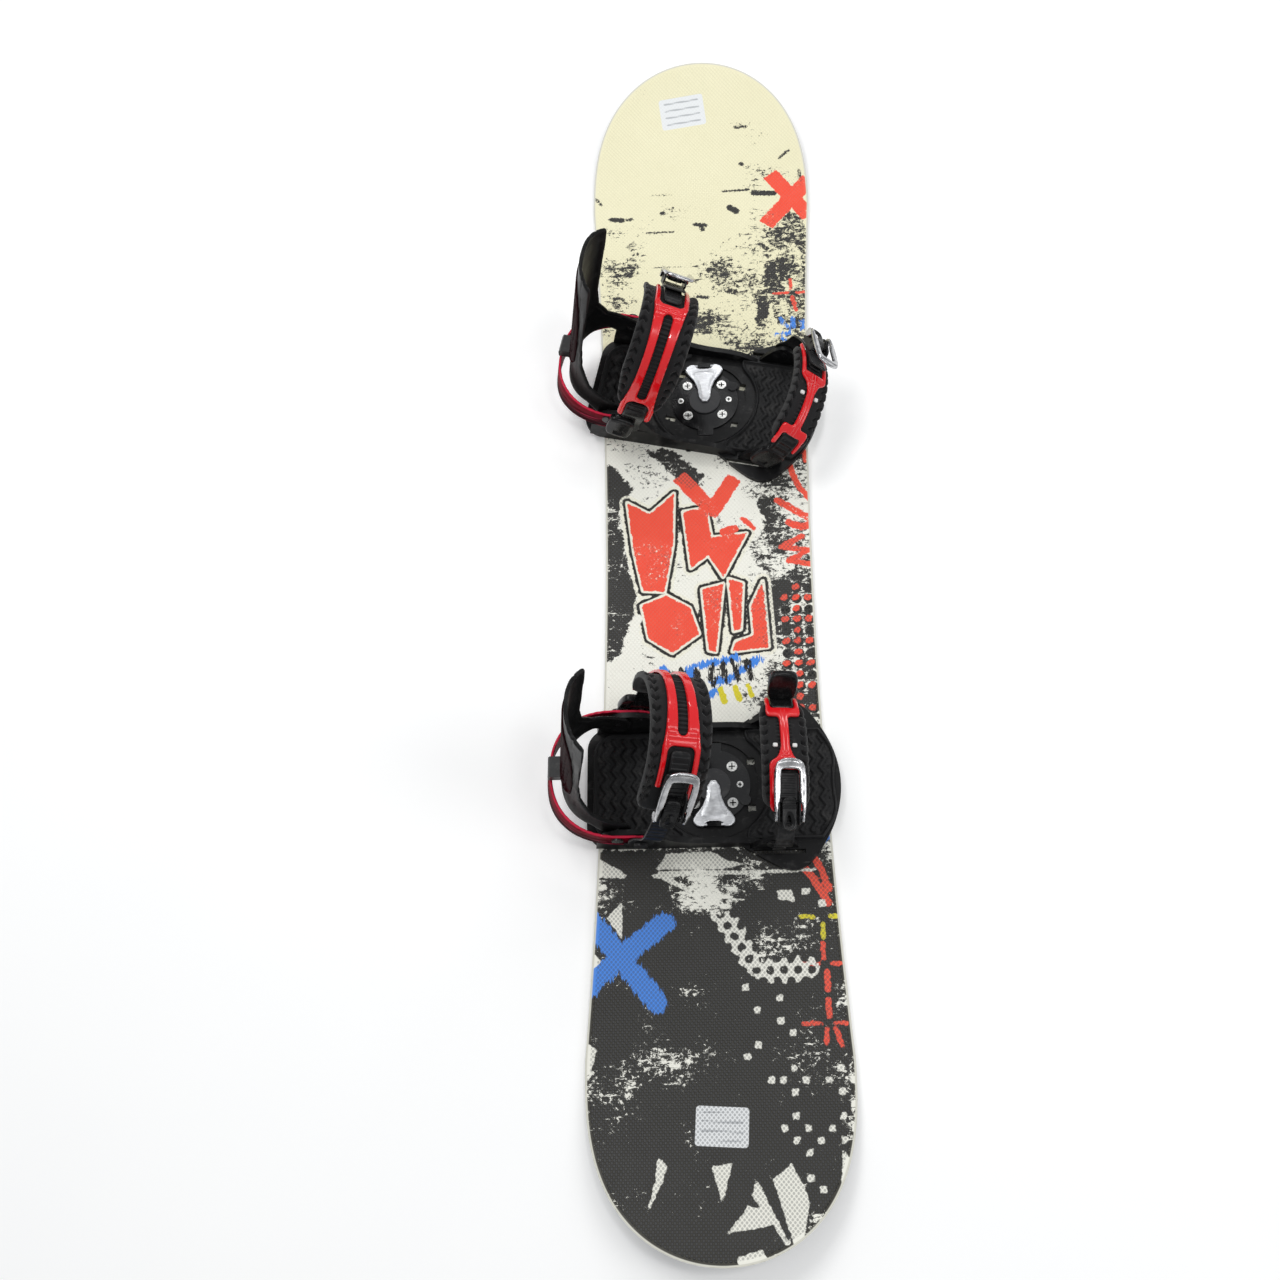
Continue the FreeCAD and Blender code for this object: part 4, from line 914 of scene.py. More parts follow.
class Strap:
    """Arch over the foot; a point is its run along the arch, its offset across and its lift above."""

    def __init__(self, end, kind):
        self.end, self.kind, self.name = end, kind, end + "_" + kind
        self.body = self.name + "_strap"
        self.curve = Curve(ARCH[end, kind])
        self.length = self.curve.length
        self.lean = LEAN[end, kind]
        self.pivot = ANKLE_PIVOT if kind == "ankle" else TOE_PIVOT[end]

    def seat(self, x, v, z):
        u, w = lean_about(self.pivot[0] + x, self.pivot[1] + z, self.pivot, self.lean)
        return seat_binding(u, v, w, self.end)

    def place(self, run, across, lift):
        here, along = self.curve.at(run), self.curve.along(run)
        return self.seat(across, here[..., 0] - along[..., 1] * lift, here[..., 1] + along[..., 0] * lift)

    def place_past(self, run, across, lift):
        """Like place, but past its bolts the strap goes on straight down."""
        held = np.clip(run, 0, self.length)
        down = -np.abs(run - held)
        still = 0 * down
        drop = self.seat(still, still, down) - self.seat(still, still, still)
        return self.place(held, across, lift) + drop

    def frame(self, run, lift, tilt=0.0):
        """Maps buckle coordinates (x along the strap, y across, z out) at a run of the strap."""
        at, along = self.curve.at(run), self.curve.along(run)
        out = np.array([-along[1], along[0]])
        origin = at + out * lift
        c, s = math.cos(math.radians(tilt)), math.sin(math.radians(tilt))
        along, out = along * c + out * s, out * c - along * s

        def place(x, y, z):
            v, w = (origin[k] + along[k] * x + out[k] * z for k in (0, 1))
            return self.seat(-y, v, w)
        return place


def rising(run, climb, low, high):
    """Height that goes from low at the bolt's head to high where the strap has climbed the pad."""
    return low + (high - low) * smooth_step(BOLT_HEAD, climb, run)


def strip(s, n, start, end, half, soft):
    """Straight strip along the strap with rounded corners."""
    return both(np.abs(n) - half, np.abs(s - (start + end) / 2) - (end - start) / 2, soft)


def eyed_strip(s, n, start, end, half, eye_at, eye):
    """Strip with a round eye for the strap's bolt."""
    to_bolt = np.hypot(s - eye_at, n)
    return np.maximum(either(strip(s, n, start, end, half, 6.0), to_bolt - eye, 5.0), BOLT_HOLE - to_bolt)


def chevrons(s, n, start, end, centre, pitch, reach, width):
    """Row of V-shaped slots along the strap."""
    s0 = start + np.mod(s - start, pitch)
    folded = np.abs(n - centre)
    slot = np.abs(s0 - start - pitch / 2 + folded * 0.8 - reach * 0.4) * 0.78 - width
    return np.maximum(np.maximum(slot, folded - reach), np.maximum(start - s, s - end))


def strap_pad(strap, sizes, look):
    """Soft pad with zigzag treads beside a ribbed middle."""
    s0, s1 = sizes["pad"][0], strap.length - sizes["pad"][1]
    half, outer = sizes["half"], sizes["frame_half"]
    side = (outer + half) / 2 + 0.5

    def width(s):
        height = strap.curve.at(s)[..., 1]
        return half * (0.72 + 0.28 * smooth_step(sizes["foot"] * 0.7, sizes["full"] * 1.1, height))

    def outline(s, n):
        shape = strip(s, n, s0, s1, width(s), 14.0)
        if strap.kind == "ankle":
            for k in range(4):
                for sign in (-1, 1):
                    hole = np.hypot(s - (s1 - 14 - 10 * k), n - sign * (side + 0.5 - 0.4 * k)) - 2.0
                    shape = np.maximum(shape, -hole)
        return shape

    def top(s, n, depth):
        rim = smooth_step(3.4, 6.0, np.abs(width(s) - np.abs(n)))
        lift = 8.7 - 1.6 * rim
        cut = np.minimum(chevrons(s, n, s0 + 12, s1 - 12, side, 10.5, 4.2, 1.3),
                         chevrons(s, n, s0 + 12, s1 - 12, -side, 10.5, 4.2, 1.3))
        lift = lift - 3.4 * smooth_step(0.6, -0.5, cut)
        rib = smooth_step(0.25, -0.25, np.cos(2 * math.pi * s / 4.2)) * (np.abs(n) < 7.5)
        lift = np.where(np.abs(n) < 8, 6.9 + 1.5 * rib, lift)
        crown = 0.35 * np.sin(2 * math.pi * s / 46)
        return lift - edge_drop(depth, 2.6) + crown * smooth_step(2, 8, depth) * (np.abs(n) > outer)

    def bottom(s, n, depth):
        quilt = 0.5 * smooth_step(0.3, -0.2, np.cos(2 * math.pi * s / 14))
        return 0.15 + 2.2 * (1 - smooth_step(0, 9, depth)) + quilt * smooth_step(5, 12, depth)

    pad = form(strap.name + "_pad_foam", look, strap.body, "strap_black", strap.name + "_strap_pad",
               outline, ((s0 - 2, s1 + 2), (-half - 2, half + 2)), 1.25, bottom, top, strap.place)


def strap_frame(strap, sizes, look):
    """Glossy frame: prongs round the link, a window and a fork round the buckle."""
    s0, s1 = sizes["frame"][0], strap.length - sizes["frame"][1]
    half, yoke = sizes["frame_half"], s0 + sizes["yoke"]
    fork, bar_width = s1 - sizes["fork"], sizes["bar"]

    def ankle(s, n):
        waist = half - 5.0 * np.sin(math.pi * np.clip((s - yoke + 8) / (fork - yoke + 8), 0, 1)) ** 0.7
        body = both(np.abs(n) - waist, block(s, n, s0, s1, -60, 60), 5.0)
        prongs = block(s, n, s0 - 20, yoke, -sizes["yoke_gap"] + 1, sizes["yoke_gap"] - 1, 9)
        arms = block(s, n, fork, s1 + 20, -sizes["fork_gap"], sizes["fork_gap"], 6)
        slot = block(s, n, yoke + 4, fork - bar_width, -5.2, 5.2, 5.0)
        short = block(s, n, s1 - 24, s1 + 10, -half - 4, 0, 0)
        return np.maximum.reduce([body, -prongs, -arms, -slot, -short])

    def toe(s, n):
        spine = both(np.abs(n) - 4.6 - 5.5 * smooth_step(fork - 22, fork - 2, s),
                     block(s, n, yoke, fork + 3, -40, 40), 1)
        head = both(block(s, n, yoke - 2, yoke + bar_width, -half, half, 2.5), np.abs(n) - half, 1)
        prongs = both(np.abs(np.abs(n) - (half + sizes["yoke_gap"]) / 2) - (half - sizes["yoke_gap"]) / 2,
                      block(s, n, s0, yoke + 4, -40, 40), 3.0)
        arms = np.maximum(block(s, n, fork - bar_width, s1, -half, half, 7),
                          -block(s, n, fork, s1 + 20, -sizes["fork_gap"], sizes["fork_gap"], 4))
        return either(either(either(spine, head, 4.0), prongs, 3.0), arms, 5.0)

    def top(s, n, depth):
        lift = PAD_THICKNESS + FRAME_THICKNESS - 0.15 - edge_drop(depth, 1.3)
        groove = np.abs(np.abs(n) - half + 4.0) if strap.kind == "ankle" else np.abs(np.abs(n) - 2.2)
        lift = lift - 0.5 * smooth_step(0.9, 0.2, groove) * smooth_step(1.2, 2.2, depth)
        stairs = np.abs(np.mod(s - fork, 4.0) - 2.0)
        near = smooth_step(fork - 16, fork - 13, s) * smooth_step(fork - 1, fork - 4, s)
        return lift - 0.6 * smooth_step(0.9, 0.3, stairs) * near * smooth_step(1.5, 2.5, depth)

    form(strap.name + "_frame_gloss", look, strap.body, "frame_red", strap.name + "_strap_frame",
         ankle if strap.kind == "ankle" else toe, ((s0 - 2, s1 + 2), (-half - 2, half + 2)), 1.0,
         PAD_THICKNESS + 0.1, top, strap.place)


def toe_accents(strap, sizes, look):
    """Two short pale bars beside the toe frame's spine."""
    middle = strap.length - sizes["frame"][1] - sizes["fork"] - 22
    form(strap.name + "_accent_bars", look, strap.body, "frame_red", None,
         lambda s, n: block(s, np.abs(n), middle - 2, middle + 2, 7.5, 12.5, 1.2),
         ((middle - 4, middle + 4), (-15, 15)), 0.6, PAD_THICKNESS - 1.5,
         lambda s, n, d: PAD_THICKNESS + 0.7 - edge_drop(d, 0.8), strap.place)


def strap_ladder(strap, sizes, look):
    """Toothed ladder strap with a round eye at its bolt."""
    total, climb, half = strap.length, sizes["climb"], sizes["ladder_half"]
    start = total - sizes["ladder"]
    eye = half + 3

    def outline(s, n):
        return eyed_strip(s, n, start, total + 4, half, total, eye)

    def lift(s):
        return rising(total - s, climb, 0, PAD_THICKNESS + 0.3)

    def top(s, n, depth):
        toothed = smooth_step(total - climb + 2, total - climb - 4, s) * (np.abs(n) < half - 1.6)
        tooth = 0.9 * toothed * np.mod(s - start, 5.0) / 5.0
        return lift(s) + LADDER_THICKNESS - tooth - edge_drop(depth, 0.7)

    form(strap.name + "_ladder_teeth", look, strap.body, "ladder_black", strap.name + "_ladder", outline,
         ((start - 2, total + eye + 2), (-eye - 2, eye + 2)), 0.9, lambda s, n, d: lift(s) + 0.05, top,
         strap.place_past)


def strap_link(strap, sizes, look):
    """Inner link: tongue under the frame, eye at the bolt and a cover plate with a square mouth."""
    climb, half = sizes["climb"], sizes["link_half"]

    def outline(s, n):
        return eyed_strip(s, n, -4, sizes["link"], half, 0, half + 1)

    def top(s, n, depth):
        rib = 0.7 * smooth_step(0.2, -0.3, np.cos(2 * math.pi * s / 6)) * (np.abs(n) < half - 3) * (s > climb)
        return rising(s, climb, 3.0, PAD_THICKNESS + FRAME_THICKNESS + 0.1) - edge_drop(depth, 0.9) - rib

    tongue = plate("tongue", outline, ((-half - 4, sizes["link"] + 2), (-half - 3, half + 3)), 1.1,
                   lambda s, n, d: rising(s, climb, 0.05, PAD_THICKNESS + 0.2), top, strap.place_past)
    run, tilt, reach, side = LINK_CAP[strap.end, strap.kind]
    cap_lift = max(7.5, float(rising(run, climb, 3.0, PAD_THICKNESS + FRAME_THICKNESS + 0.2)))
    corners = rounded([(-19, -9), (-19, 9), (-12, 15), (13, 15), (19, 10), (19, -10), (13, -15),
                       (-12, -15)], 2)
    seat = strap.frame(run, cap_lift, tilt)

    def cap_top(x, y, depth):
        pocket = smooth_step(0.4, -0.4, block(x, y, -12, -3, -5, 5, 1.2))
        step = smooth_step(0.5, -0.5, block(x, y, -15, 15, -11.5, 11.5, 3))
        return 3.1 + 0.5 * step - 2.0 * pocket - edge_drop(depth, 2.4)

    cap = plate("cap", lambda x, y: polygon(x, y, corners), ((-21, 21), (-17, 17)), 0.9,
                lambda x, y, d: -5.1 + edge_drop(d, 1.2), cap_top,
                lambda x, y, h: seat(x + reach, y + side, h))
    piece(strap.name + "_link_plate", [tongue, cap], look, strap.body, "link_black",
          strap.name + "_strap_link")


# ---- buckles: x along the strap, y across, z out ---------------------------
HINGE, RELEASE = (20.0, 9.0), (5.0, 8.5)
STUB_RADIUS, STUB_HOLE, AXLE_RADIUS, AXLE_HOLE = 1.38, 1.65, 1.45, 1.55


def side_plate(name, outline, span, step, y0, y1, seat, bevel=0.7):
    """Plate drawn in the buckle's side view, from y0 to y1 across."""
    return plate(name, outline, span, step, lambda x, z, d: y0 + edge_drop(d, bevel),
                 lambda x, z, d: y1 - edge_drop(d, bevel), lambda x, z, h: seat(x, h, z))


def pin(name, radius, centre, y0, y1, seat):
    """Round pin across the buckle."""
    return side_plate(name, lambda x, z: np.hypot(x - centre[0], z - centre[1]) - radius,
                      ((centre[0] - radius - 0.5, centre[0] + radius + 0.5),
                       (centre[1] - radius - 0.5, centre[1] + radius + 0.5)), 0.4, y0, y1, seat, 0.25)


def buckle_base(seat, scale):
    """Ribbed channel for the ladder, with two ears that carry both levers."""
    half = 13 * scale

    def ribs(x, y, depth):
        rib = smooth_step(0.2, -0.2, np.cos(2 * math.pi * x / 5)) * (np.abs(y) < half - 3.5)
        return 2.0 - 0.6 * rib - edge_drop(depth, 0.7)

    shape = rounded([(-8, 1), (-2, 12), (6, 13), (24, 13), (28, 8), (28, 1)], 2)

    def ear(x, z):
        stub_hole = STUB_HOLE - np.hypot(x - HINGE[0], z - HINGE[1])
        axle_hole = AXLE_HOLE - np.hypot(x - RELEASE[0], z - RELEASE[1])
        return np.maximum.reduce([polygon(x, z, shape), stub_hole, axle_hole])

    meshes = [plate("floor", lambda x, y: block(x, y, -24, 28, -half, half, 3),
                    ((-26, 30), (-half - 2, half + 2)), 0.9, 0.05, ribs, seat)]
    for sign in (1, -1):
        y0, y1 = sorted((sign * (half - 2), sign * half))
        meshes.append(side_plate("ear", ear, ((-9, 30), (0, 14)), 0.6, y0, y1, seat, 0.5))
    return meshes


def buckle_lever(seat, scale):
    """Cast window-frame lever with hollowed arms and a thick free end."""
    half, inner = 18 * scale, 13.4 * scale
    outer = rounded([(-38, -half + 8), (-30, -half), (14, -half), (26, -half + 4), (26, half - 4), (14, half),
                     (-30, half), (-38, half - 8)], 2)
    window = rounded([(-27, -inner + 5), (-24, -inner + 2.4), (5, -inner + 2.4), (9, -inner - 0.3),
                      (40, -inner - 0.3), (40, inner + 0.3), (9, inner + 0.3), (5, inner - 2.4),
                      (-24, inner - 2.4), (-27, inner - 5)], 1)

    def outline(x, y):
        return np.maximum(polygon(x, y, outer), -polygon(x, y, window))

    def top(x, y, depth):
        bow = 0.9 * smooth_step(10, 26, x) + 0.7 * smooth_step(-24, -38, x)
        dish = 0.7 * smooth_step(1.6, 2.8, depth) * smooth_step(-30, -33, x)
        return 17.9 - bow - dish - edge_drop(depth, 1.5)

    meshes = [plate("window", outline, ((-40, 28), (-half - 2, half + 2)), 0.8,
                    lambda x, y, d: 14.05 + edge_drop(d, 0.9), top, seat)]
    cheek = rounded([(12, 15.5), (15, 7), (20, 4.5), (25, 7), (26, 15.5)], 2)
    for sign in (1, -1):
        y0, y1 = sorted((sign * (inner + 0.3), sign * (half - 1.5)))
        meshes.append(side_plate("cheek", lambda x, z: polygon(x, z, cheek), ((11, 28), (4, 16)), 0.7,
                                 y0, y1, seat))
        y0, y1 = sorted((sign * (half - 7 * scale), sign * (half - 3)))
        meshes.append(pin("stub", STUB_RADIUS, HINGE, y0, y1, seat))
    return meshes


def buckle_release(seat, scale):
    """Inner lever with a teardrop finger hole and a ridged top."""
    half = 8.5 * scale
    body = rounded([(0.6, -half + 1), (0.6, half - 1), (10, half), (30, half), (34, half - 3),
                    (34, -half + 3), (30, -half), (10, -half)], 2)
    drop = rounded([(30.5, 0), (27, 3.4 * scale), (23, 2.0 * scale), (17, 0), (23, -2.0 * scale),
                    (27, -3.4 * scale)], 2)

    def top(x, y, depth):
        ridge = 0.5 * smooth_step(0.3, -0.3, np.cos(2 * math.pi * x / 3.2)) * smooth_step(14, 10, x)
        dish = 0.8 * smooth_step(3.6, 1.0, polygon(x, y, drop))
        return 11.9 - 0.4 * smooth_step(6, 34, x) - ridge - dish - edge_drop(depth, 1.3)

    meshes = [plate("release", lambda x, y: np.maximum(polygon(x, y, body), -polygon(x, y, drop)),
                    ((-1, 36), (-half - 2, half + 2)), 0.7,
                    lambda x, y, d: 6.1 + 2.4 * smooth_step(6, 22, x) + edge_drop(d, 0.6), top, seat)]
    meshes.append(pin("axle", AXLE_RADIUS, RELEASE, -12.4 * scale, 12.4 * scale, seat))
    return meshes


def make_strap(end, kind, looks):
    strap = Strap(end, kind)
    sizes = ANKLE if kind == "ankle" else TOE
    strap_pad(strap, sizes, looks["foam"])
    strap_frame(strap, sizes, looks["red"])
    if kind == "toe":
        toe_accents(strap, sizes, looks["accent"])
    strap_link(strap, sizes, looks["link"])
    strap_ladder(strap, sizes, looks["ladder"])
    name, scale = strap.name, sizes["scale"]
    seat = strap.frame(strap.length - sizes["buckle"], PAD_THICKNESS + 3.4)
    piece(name + "_buckle_channel", buckle_base(seat, scale), looks["ladder"], strap.body, "buckle_black",
          name + "_buckle_base")
    piece(name + "_buckle_frame", buckle_lever(seat, scale), looks["cast"], name + "_lever", "buckle_silver",
          name + "_buckle_lever")
    piece(name + "_buckle_trigger", buckle_release(seat, scale), looks["link"], name + "_release",
          "buckle_black", name + "_buckle_release")


# ---- highback and heel hoop -----------------------------------------------
class Band:
    """Ruled band round the heel: w runs round it, z is the height, and a lift is outward."""

    def __init__(self, low, high, z_low, z_high, power, end, lean=0.0, pivot=(0.0, 0.0)):
        self.rings = [self.ring(*r, power) for r in (low, high)]
        self.z_low, self.z_high = z_low, z_high
        self.end, self.lean, self.pivot = end, lean, pivot
        self.reach = self.rings[0].length / 2

    @staticmethod
    def ring(back, half, start, bend, power):
        turn = np.radians(np.arange(-90, 91, 5.0))
        c, s = np.abs(np.cos(turn)), np.sin(turn)
        u = bend + (back - bend) * c ** (2 / power)
        v = half * np.sign(s) * np.abs(s) ** (2 / power)
        return Curve([(start, -half)] + list(zip(u, v)) + [(start, half)])

    def flat(self, w, z):
        """(u, v) of the outer face."""
        t = ((z - self.z_low) / (self.z_high - self.z_low))[..., None]
        share = (w + self.reach) / (2 * self.reach)
        low, high = (ring.at(share * ring.length) for ring in self.rings)
        return low * (1 - t) + high * t

    def place(self, w, z, lift):
        here = self.flat(w, z)
        side = self.flat(w + 1.0, z) - self.flat(w - 1.0, z)
        rise = (self.flat(w, z + 1.0) - self.flat(w, z - 1.0)) / 2
        a = np.stack([side[..., 0], side[..., 1], 0 * z], -1)
        b = np.stack([rise[..., 0], rise[..., 1], 0 * z + 1], -1)
        out = np.cross(b, a)
        out /= np.maximum(np.linalg.norm(out, axis=-1, keepdims=True), 1e-9)
        u, v = here[..., 0] + out[..., 0] * lift, here[..., 1] + out[..., 1] * lift
        height = z + out[..., 2] * lift
        u, height = lean_about(u, height, self.pivot, self.lean)
        return seat_binding(u, v, height, self.end)


HIGHBACK_PIVOT, LOOP_SCREW = (-98.0, 58.0), (-88.0, 43.0)
PIVOT_HOLE, SCREW_HOLE = 3.1, 2.6         # radii
HIGHBACK_LEAN = {"front": 2.0, "rear": 0.0}
HIGHBACK_SIDE = [
    (-87, 47), (-84, 58), (-88, 70), (-104, 80), (-122, 92), (-131, 118), (-130, 150), (-124, 190),
    (-116, 240), (-112, 272), (-185, 272), (-185, 60), (-125, 60), (-112, 47),
]
CROWN = Curve([(-80, 40), (-78, 120), (-68, 205), (-56, 246), (-32, 267), (0, 272), (32, 267), (56, 246),
               (68, 205), (78, 120), (80, 40)], 60).points.tolist()
HOOP_SIDE = [
    (-62, 50), (-66, 38), (-90, 37), (-120, 40), (-145, 40), (-180, 37), (-180, 80), (-160, 78), (-130, 70),
    (-100, 65), (-75, 65), (-64, 60),
]


def make_highback(end, looks):
    band = Band((-159, 59, -80, -96), (-129.5, 52.4, -53.8, -67.6), 40, 274, 2.4, end, HIGHBACK_LEAN[end],
                HIGHBACK_PIVOT)
    body = end + "_highback"

    def outline(w, z):
        uv = band.flat(w, z)
        front_view = [(-200, 30)] + CROWN + [(200, 30)]
        shape = both(polygon(uv[..., 0], z, HIGHBACK_SIDE), polygon(uv[..., 1], z, front_view), 3.0)
        hole = PIVOT_HOLE - np.hypot(uv[..., 0] - HIGHBACK_PIVOT[0], z - HIGHBACK_PIVOT[1])
        return np.maximum(shape, hole)

    def outer(w, z, depth):
        groove = 0.9 * smooth_step(1.2, 0.3, np.abs(np.abs(w) - 46 + (z - 90) * 0.06))
        return -edge_drop(depth, 1.2) - groove * smooth_step(84, 96, z)

    def inner(w, z, depth):
        rim = 1.6 * smooth_step(2.5, 6.5, depth) * smooth_step(70, 90, z)
        cushion = 1.2 * smooth_step(12, 18, depth) * smooth_step(100, 112, z)
        rib = 0.5 * smooth_step(0.3, -0.3, np.cos(2 * math.pi * z / 17)) * smooth_step(18, 24, depth)
        return -3.9 + rim - cushion + rib * smooth_step(110, 120, z) + edge_drop(depth, 1.2)

    form(body + "_blade", looks["blade"], body, "highback_black", body + "_shell",
         outline, ((-band.reach, band.reach), (42, 276)), 2.0, inner, outer, band.place)

    def window(w, z):
        uv = band.flat(w, z)
        return polygon(uv[..., 1], z,
                       rounded([(-34, 92), (-38, 150), (-30, 246), (30, 246), (38, 150), (34, 92)], 2))

    def ridges(w, z, depth):
        fan = np.abs(np.mod(np.abs(w) - z * 0.12, 9.0) - 4.5)
        return 1.7 - 0.9 * smooth_step(1.4, 0.5, fan) * smooth_step(2, 4, depth) - edge_drop(depth, 0.8)

    form(body + "_stiffener", looks["panel"], body, "panel_gloss", body + "_panel",
         window, ((-60, 60), (88, 250)), 1.6, 0.05, ridges, band.place)


def make_hoop(end, looks):
    band = Band((-174, 69, -50, -96), (-166, 69, -50, -96), 36, 82, 2.3, end)
    side = rounded(HOOP_SIDE, 1)

    def outline(w, z):
        uv = band.flat(w, z)
        shape = polygon(uv[..., 0], z, side)
        for (u0, z0), radius in ((HIGHBACK_PIVOT, PIVOT_HOLE), (ANKLE_PIVOT, PIVOT_HOLE),
                                 (LOOP_SCREW, SCREW_HOLE)):
            shape = np.maximum(shape, radius - np.hypot(uv[..., 0] - u0, z - z0))
        return shape

    def outer(w, z, depth):
        back = smooth_step(band.reach - 40, band.reach - 70, np.abs(w))
        groove = 0.8 * smooth_step(1.5, 0.4, np.abs(np.mod(z + 0.05 * np.abs(w), 11.0) - 5.5)) * back
        return -edge_drop(depth, 1.4) - groove * smooth_step(2, 4, depth)

    form(end + "_hoop_lacquer", looks["hoop"], end + "_binding", "loop_red", end + "_heel_loop", outline,
         ((-band.reach, band.reach), (34, 84)), 1.4, lambda w, z, d: -2.95 + edge_drop(d, 0.9), outer,
         band.place)


# ---- footbeds -------------------------------------------------------------
TOE_OUTLINE = [(28, 66), (56, 83), (86, 92), (112, 68), (128, 36)]
TOE_U, HEEL_U, HEEL_CORNER, RAIL_V = 134.0, -134.0, 24.0, 66.0
FLOOR_TOP, RING_REACH = 14.0, 60.0        # baseplate floor, and the space kept round the disc


def plate_outline(inset):
    """Baseplate outline moved inwards."""
    toe = [(u, v - inset if u < 120 else v - inset / 2) for u, v in TOE_OUTLINE] + [(TOE_U - inset, 0)]
    toe[0] = (28, RAIL_V - inset)
    curve = Curve(toe + [(u, -v) for u, v in reversed(toe[:-1])], 80).points
    side, heel = RAIL_V - inset, HEEL_U + inset
    arc = [(heel + HEEL_CORNER * (1 - math.sin(t)), -(side - HEEL_CORNER * (1 - math.cos(t))))
           for t in np.linspace(0, math.pi / 2, 9)]
    return [tuple(p) for p in curve] + arc + [(u, -v) for u, v in reversed(arc)]


def make_footbed(end, kind, looks):
    """Rubber pad with zigzag treads inside a raised rim."""
    outline = plate_outline(7.0)
    heel = kind == "heel"
    top_z, side = (19.0, 58.0) if heel else (20.0, 60.0)
    centre = -84.0 if heel else 80.0

    def shape(u, v):
        cut = (u + 26) if heel else (34 - u)
        return np.maximum(both(both(polygon(u, v, outline), cut, 4.0), RING_REACH - np.hypot(u, v), 5.0),
                          np.abs(v) - side)

    def top(u, v, depth):
        zig = 6.0 * np.abs(np.mod(v / 17.0, 1.0) * 2 - 1)
        tread = smooth_step(0.6, -0.6, np.abs(np.mod(u - centre + zig, 11.0) - 5.5) - 2.4)
        field = smooth_step(5.0, 6.2, depth)
        crown = -0.9 * ((v / side) ** 2)
        rim = smooth_step(3.4, 2.6, depth)
        height = top_z - 3.4 + 2.5 * tread * field + 2.6 * rim + crown * (1 - rim)
        return height - edge_drop(depth, 1.6)

    name = end + "_" + kind
    span = ((-130, -22), (-62, 62)) if heel else ((30, 130), (-64, 64))
    form(name + "_footbed", looks["rubber"], end + "_binding", "footpad_rubber", name + "_pad",
         shape, span, 1.2, FLOOR_TOP + 0.02, top, lambda u, v, z: seat_binding(u, v, z, end))


# ---- disc lever -----------------------------------------------------------
LEVER_LOW, LEVER_THICK, LEVER_HINGE = 16.9, 3.2, 44.2


def make_disc_lever(end, looks):
    """Y-shaped silver lever with bevelled edges and a shallow raised panel."""
    flip = 1 if end == "front" else -1
    right = [(-6, -4), (6, -4), (9, 20), (22, 36), (22, 42), (17, 46.4), (10, 46.4), (8, 40.5)]
    shape = rounded(right + [(-u, v) for u, v in reversed(right[2:])], 1)
    inner = rounded([(-3.4, 0), (3.4, 0), (5.5, 20), (13, 34), (6, 36), (-6, 36), (-13, 34), (-5.5, 20)], 1)

    def place(u, v, z):
        return np.stack([u, flip * v + STANCE_Y[end], z], -1)

    def top(u, v, depth):
        panel = 0.5 * smooth_step(0.5, -0.5, polygon(u, v, inner))
        line = 0.35 * smooth_step(0.7, 0.2, np.abs(polygon(u, v, inner) - 2.2))
        return LEVER_LOW + LEVER_THICK - 0.55 + panel - line - edge_drop(depth, 1.1)

    top_mesh = plate("lever", lambda u, v: polygon(u, v, shape), ((-24, 24), (-6, 48)), 0.8,
                     lambda u, v, d: LEVER_LOW + edge_drop(d, 0.5), top, place)
    z_mid = LEVER_LOW + LEVER_THICK / 2
    hub = plate("hub", lambda v, z: np.hypot(v - LEVER_HINGE, z - z_mid) - 1.58,
                ((LEVER_HINGE - 2, LEVER_HINGE + 2), (z_mid - 2, z_mid + 2)), 0.35, -10.9, 10.9,
                lambda v, z, h: place(h, v, z))
    piece(end + "_disc_lever_cast", [top_mesh, hub], looks["silver"], end + "_disc_lever", "lever_silver",
          end + "_disc_lever")


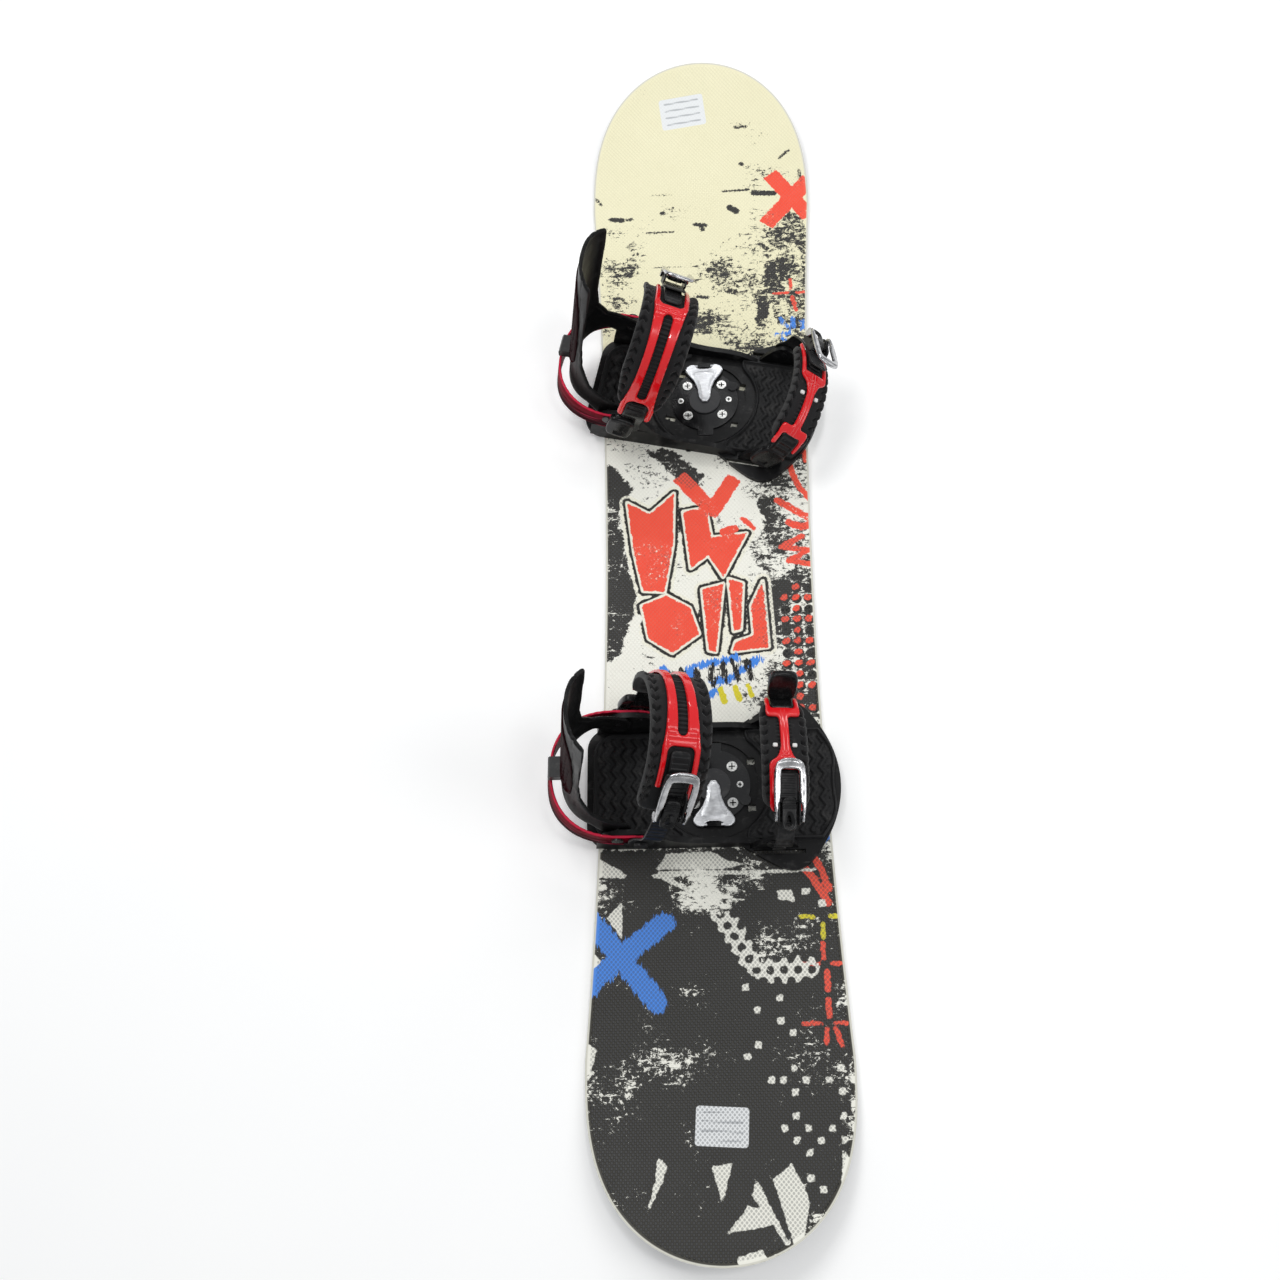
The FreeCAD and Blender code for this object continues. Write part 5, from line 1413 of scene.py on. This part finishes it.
# ---- everything -----------------------------------------------------------
def make_looks():
    return {
        "foam": foam_material(), "rubber": rubber_material(),
        "red": red_gloss_material(), "hoop": hoop_material(),
        "accent": plastic("accent_pale", (0.7, 0.7, 0.68), (0.82, 0.82, 0.8), 0.35, wear=0.15),
        "link": plastic("link_gloss_black", (0.005, 0.005, 0.0055), (0.01, 0.01, 0.0105), 0.24, 2.0, 0.08,
                        0.08, coat=0.1, specular=0.16),
        "ladder": plastic("ladder_satin_black", (0.006, 0.006, 0.0065), (0.015, 0.015, 0.016), 0.34, 1.4,
                          0.1, 0.12),
        "blade": plastic("highback_satin", (0.004, 0.004, 0.0042), (0.01, 0.01, 0.0102), 0.42, 1.1, 0.14,
                         0.06, specular=0.14),
        "panel": plastic("highback_gloss", (0.006, 0.002, 0.003), (0.025, 0.002, 0.004), 0.2, 3.0, 0.06, 0.04,
                         coat=0.08, specular=0.0),
        "cast": metal("buckle_cast", (0.36, 0.36, 0.37), (0.62, 0.62, 0.63), 0.17, (0.3, 0.3, 0.3), wear=0.06,
                      grain=2.5, bump=0.06),
        "silver": metal("lever_satin", (0.62, 0.63, 0.65), (0.84, 0.85, 0.87), 0.4, (0.3, 1, 1), 0.15),
    }


def dress_cad(looks):
    """Materials of the CAD nodes that stay."""
    plate_look = plastic("baseplate_nylon", (0.004, 0.004, 0.0045), (0.011, 0.011, 0.0115), 0.42, 1.0, 0.16,
                         0.12, specular=0.2)
    disc_look = plastic("disc_gloss", (0.004, 0.004, 0.0045), (0.01, 0.01, 0.011), 0.14, 2.4, 0.06, 0.08,
                        coat=0.4, specular=0.4)
    cap_look = plastic("cap_grey", (0.035, 0.035, 0.037), (0.06, 0.06, 0.063), 0.38, 1.0, 0.1, 0.15)
    zinc = metal("screw_zinc", (0.6, 0.6, 0.58), (0.9, 0.9, 0.88), 0.3, wear=0.4, shaded_below=14.2)
    bolt = plastic("bolt_black_oxide", (0.006, 0.006, 0.0065), (0.018, 0.018, 0.019), 0.28, 0.8, 0.1,
                   0.2, 0.2)
    fixed = {
        "board_base_sheet": base_material(),
        "board_steel_edge": metal("edge_steel", (0.42, 0.42, 0.43), (0.72, 0.72, 0.73), 0.3,
                                  (1, 0.05, 1), 0.6),
        "board_core": wood_material(), "board_sidewall": sidewall_material(),
        "board_inserts": metal("insert_steel", (0.4, 0.4, 0.4), (0.66, 0.66, 0.65), 0.36),
        "disc_mounting_screws": zinc, "disc_trim_screws": zinc, "disc_caps": cap_look,
    }
    for end in ("front", "rear"):
        fixed.update({end + "_disc": disc_look, end + "_baseplate": plate_look,
                      end + "_lean_adjuster": looks["ladder"], end + "_frame_screws": bolt,
                      end + "_strap_bolts": bolt})
    for node, material in fixed.items():
        paint(NODES[node], material)


make_camera()
make_studio()
LOOKS = make_looks()
dress_cad(LOOKS)
make_topsheet()
for binding_end in ("front", "rear"):
    make_disc_lever(binding_end, LOOKS)
    make_highback(binding_end, LOOKS)
    make_hoop(binding_end, LOOKS)
    for pad_kind in ("heel", "toe"):
        make_footbed(binding_end, pad_kind, LOOKS)
    for strap_kind in ("ankle", "toe"):
        make_strap(binding_end, strap_kind, LOOKS)
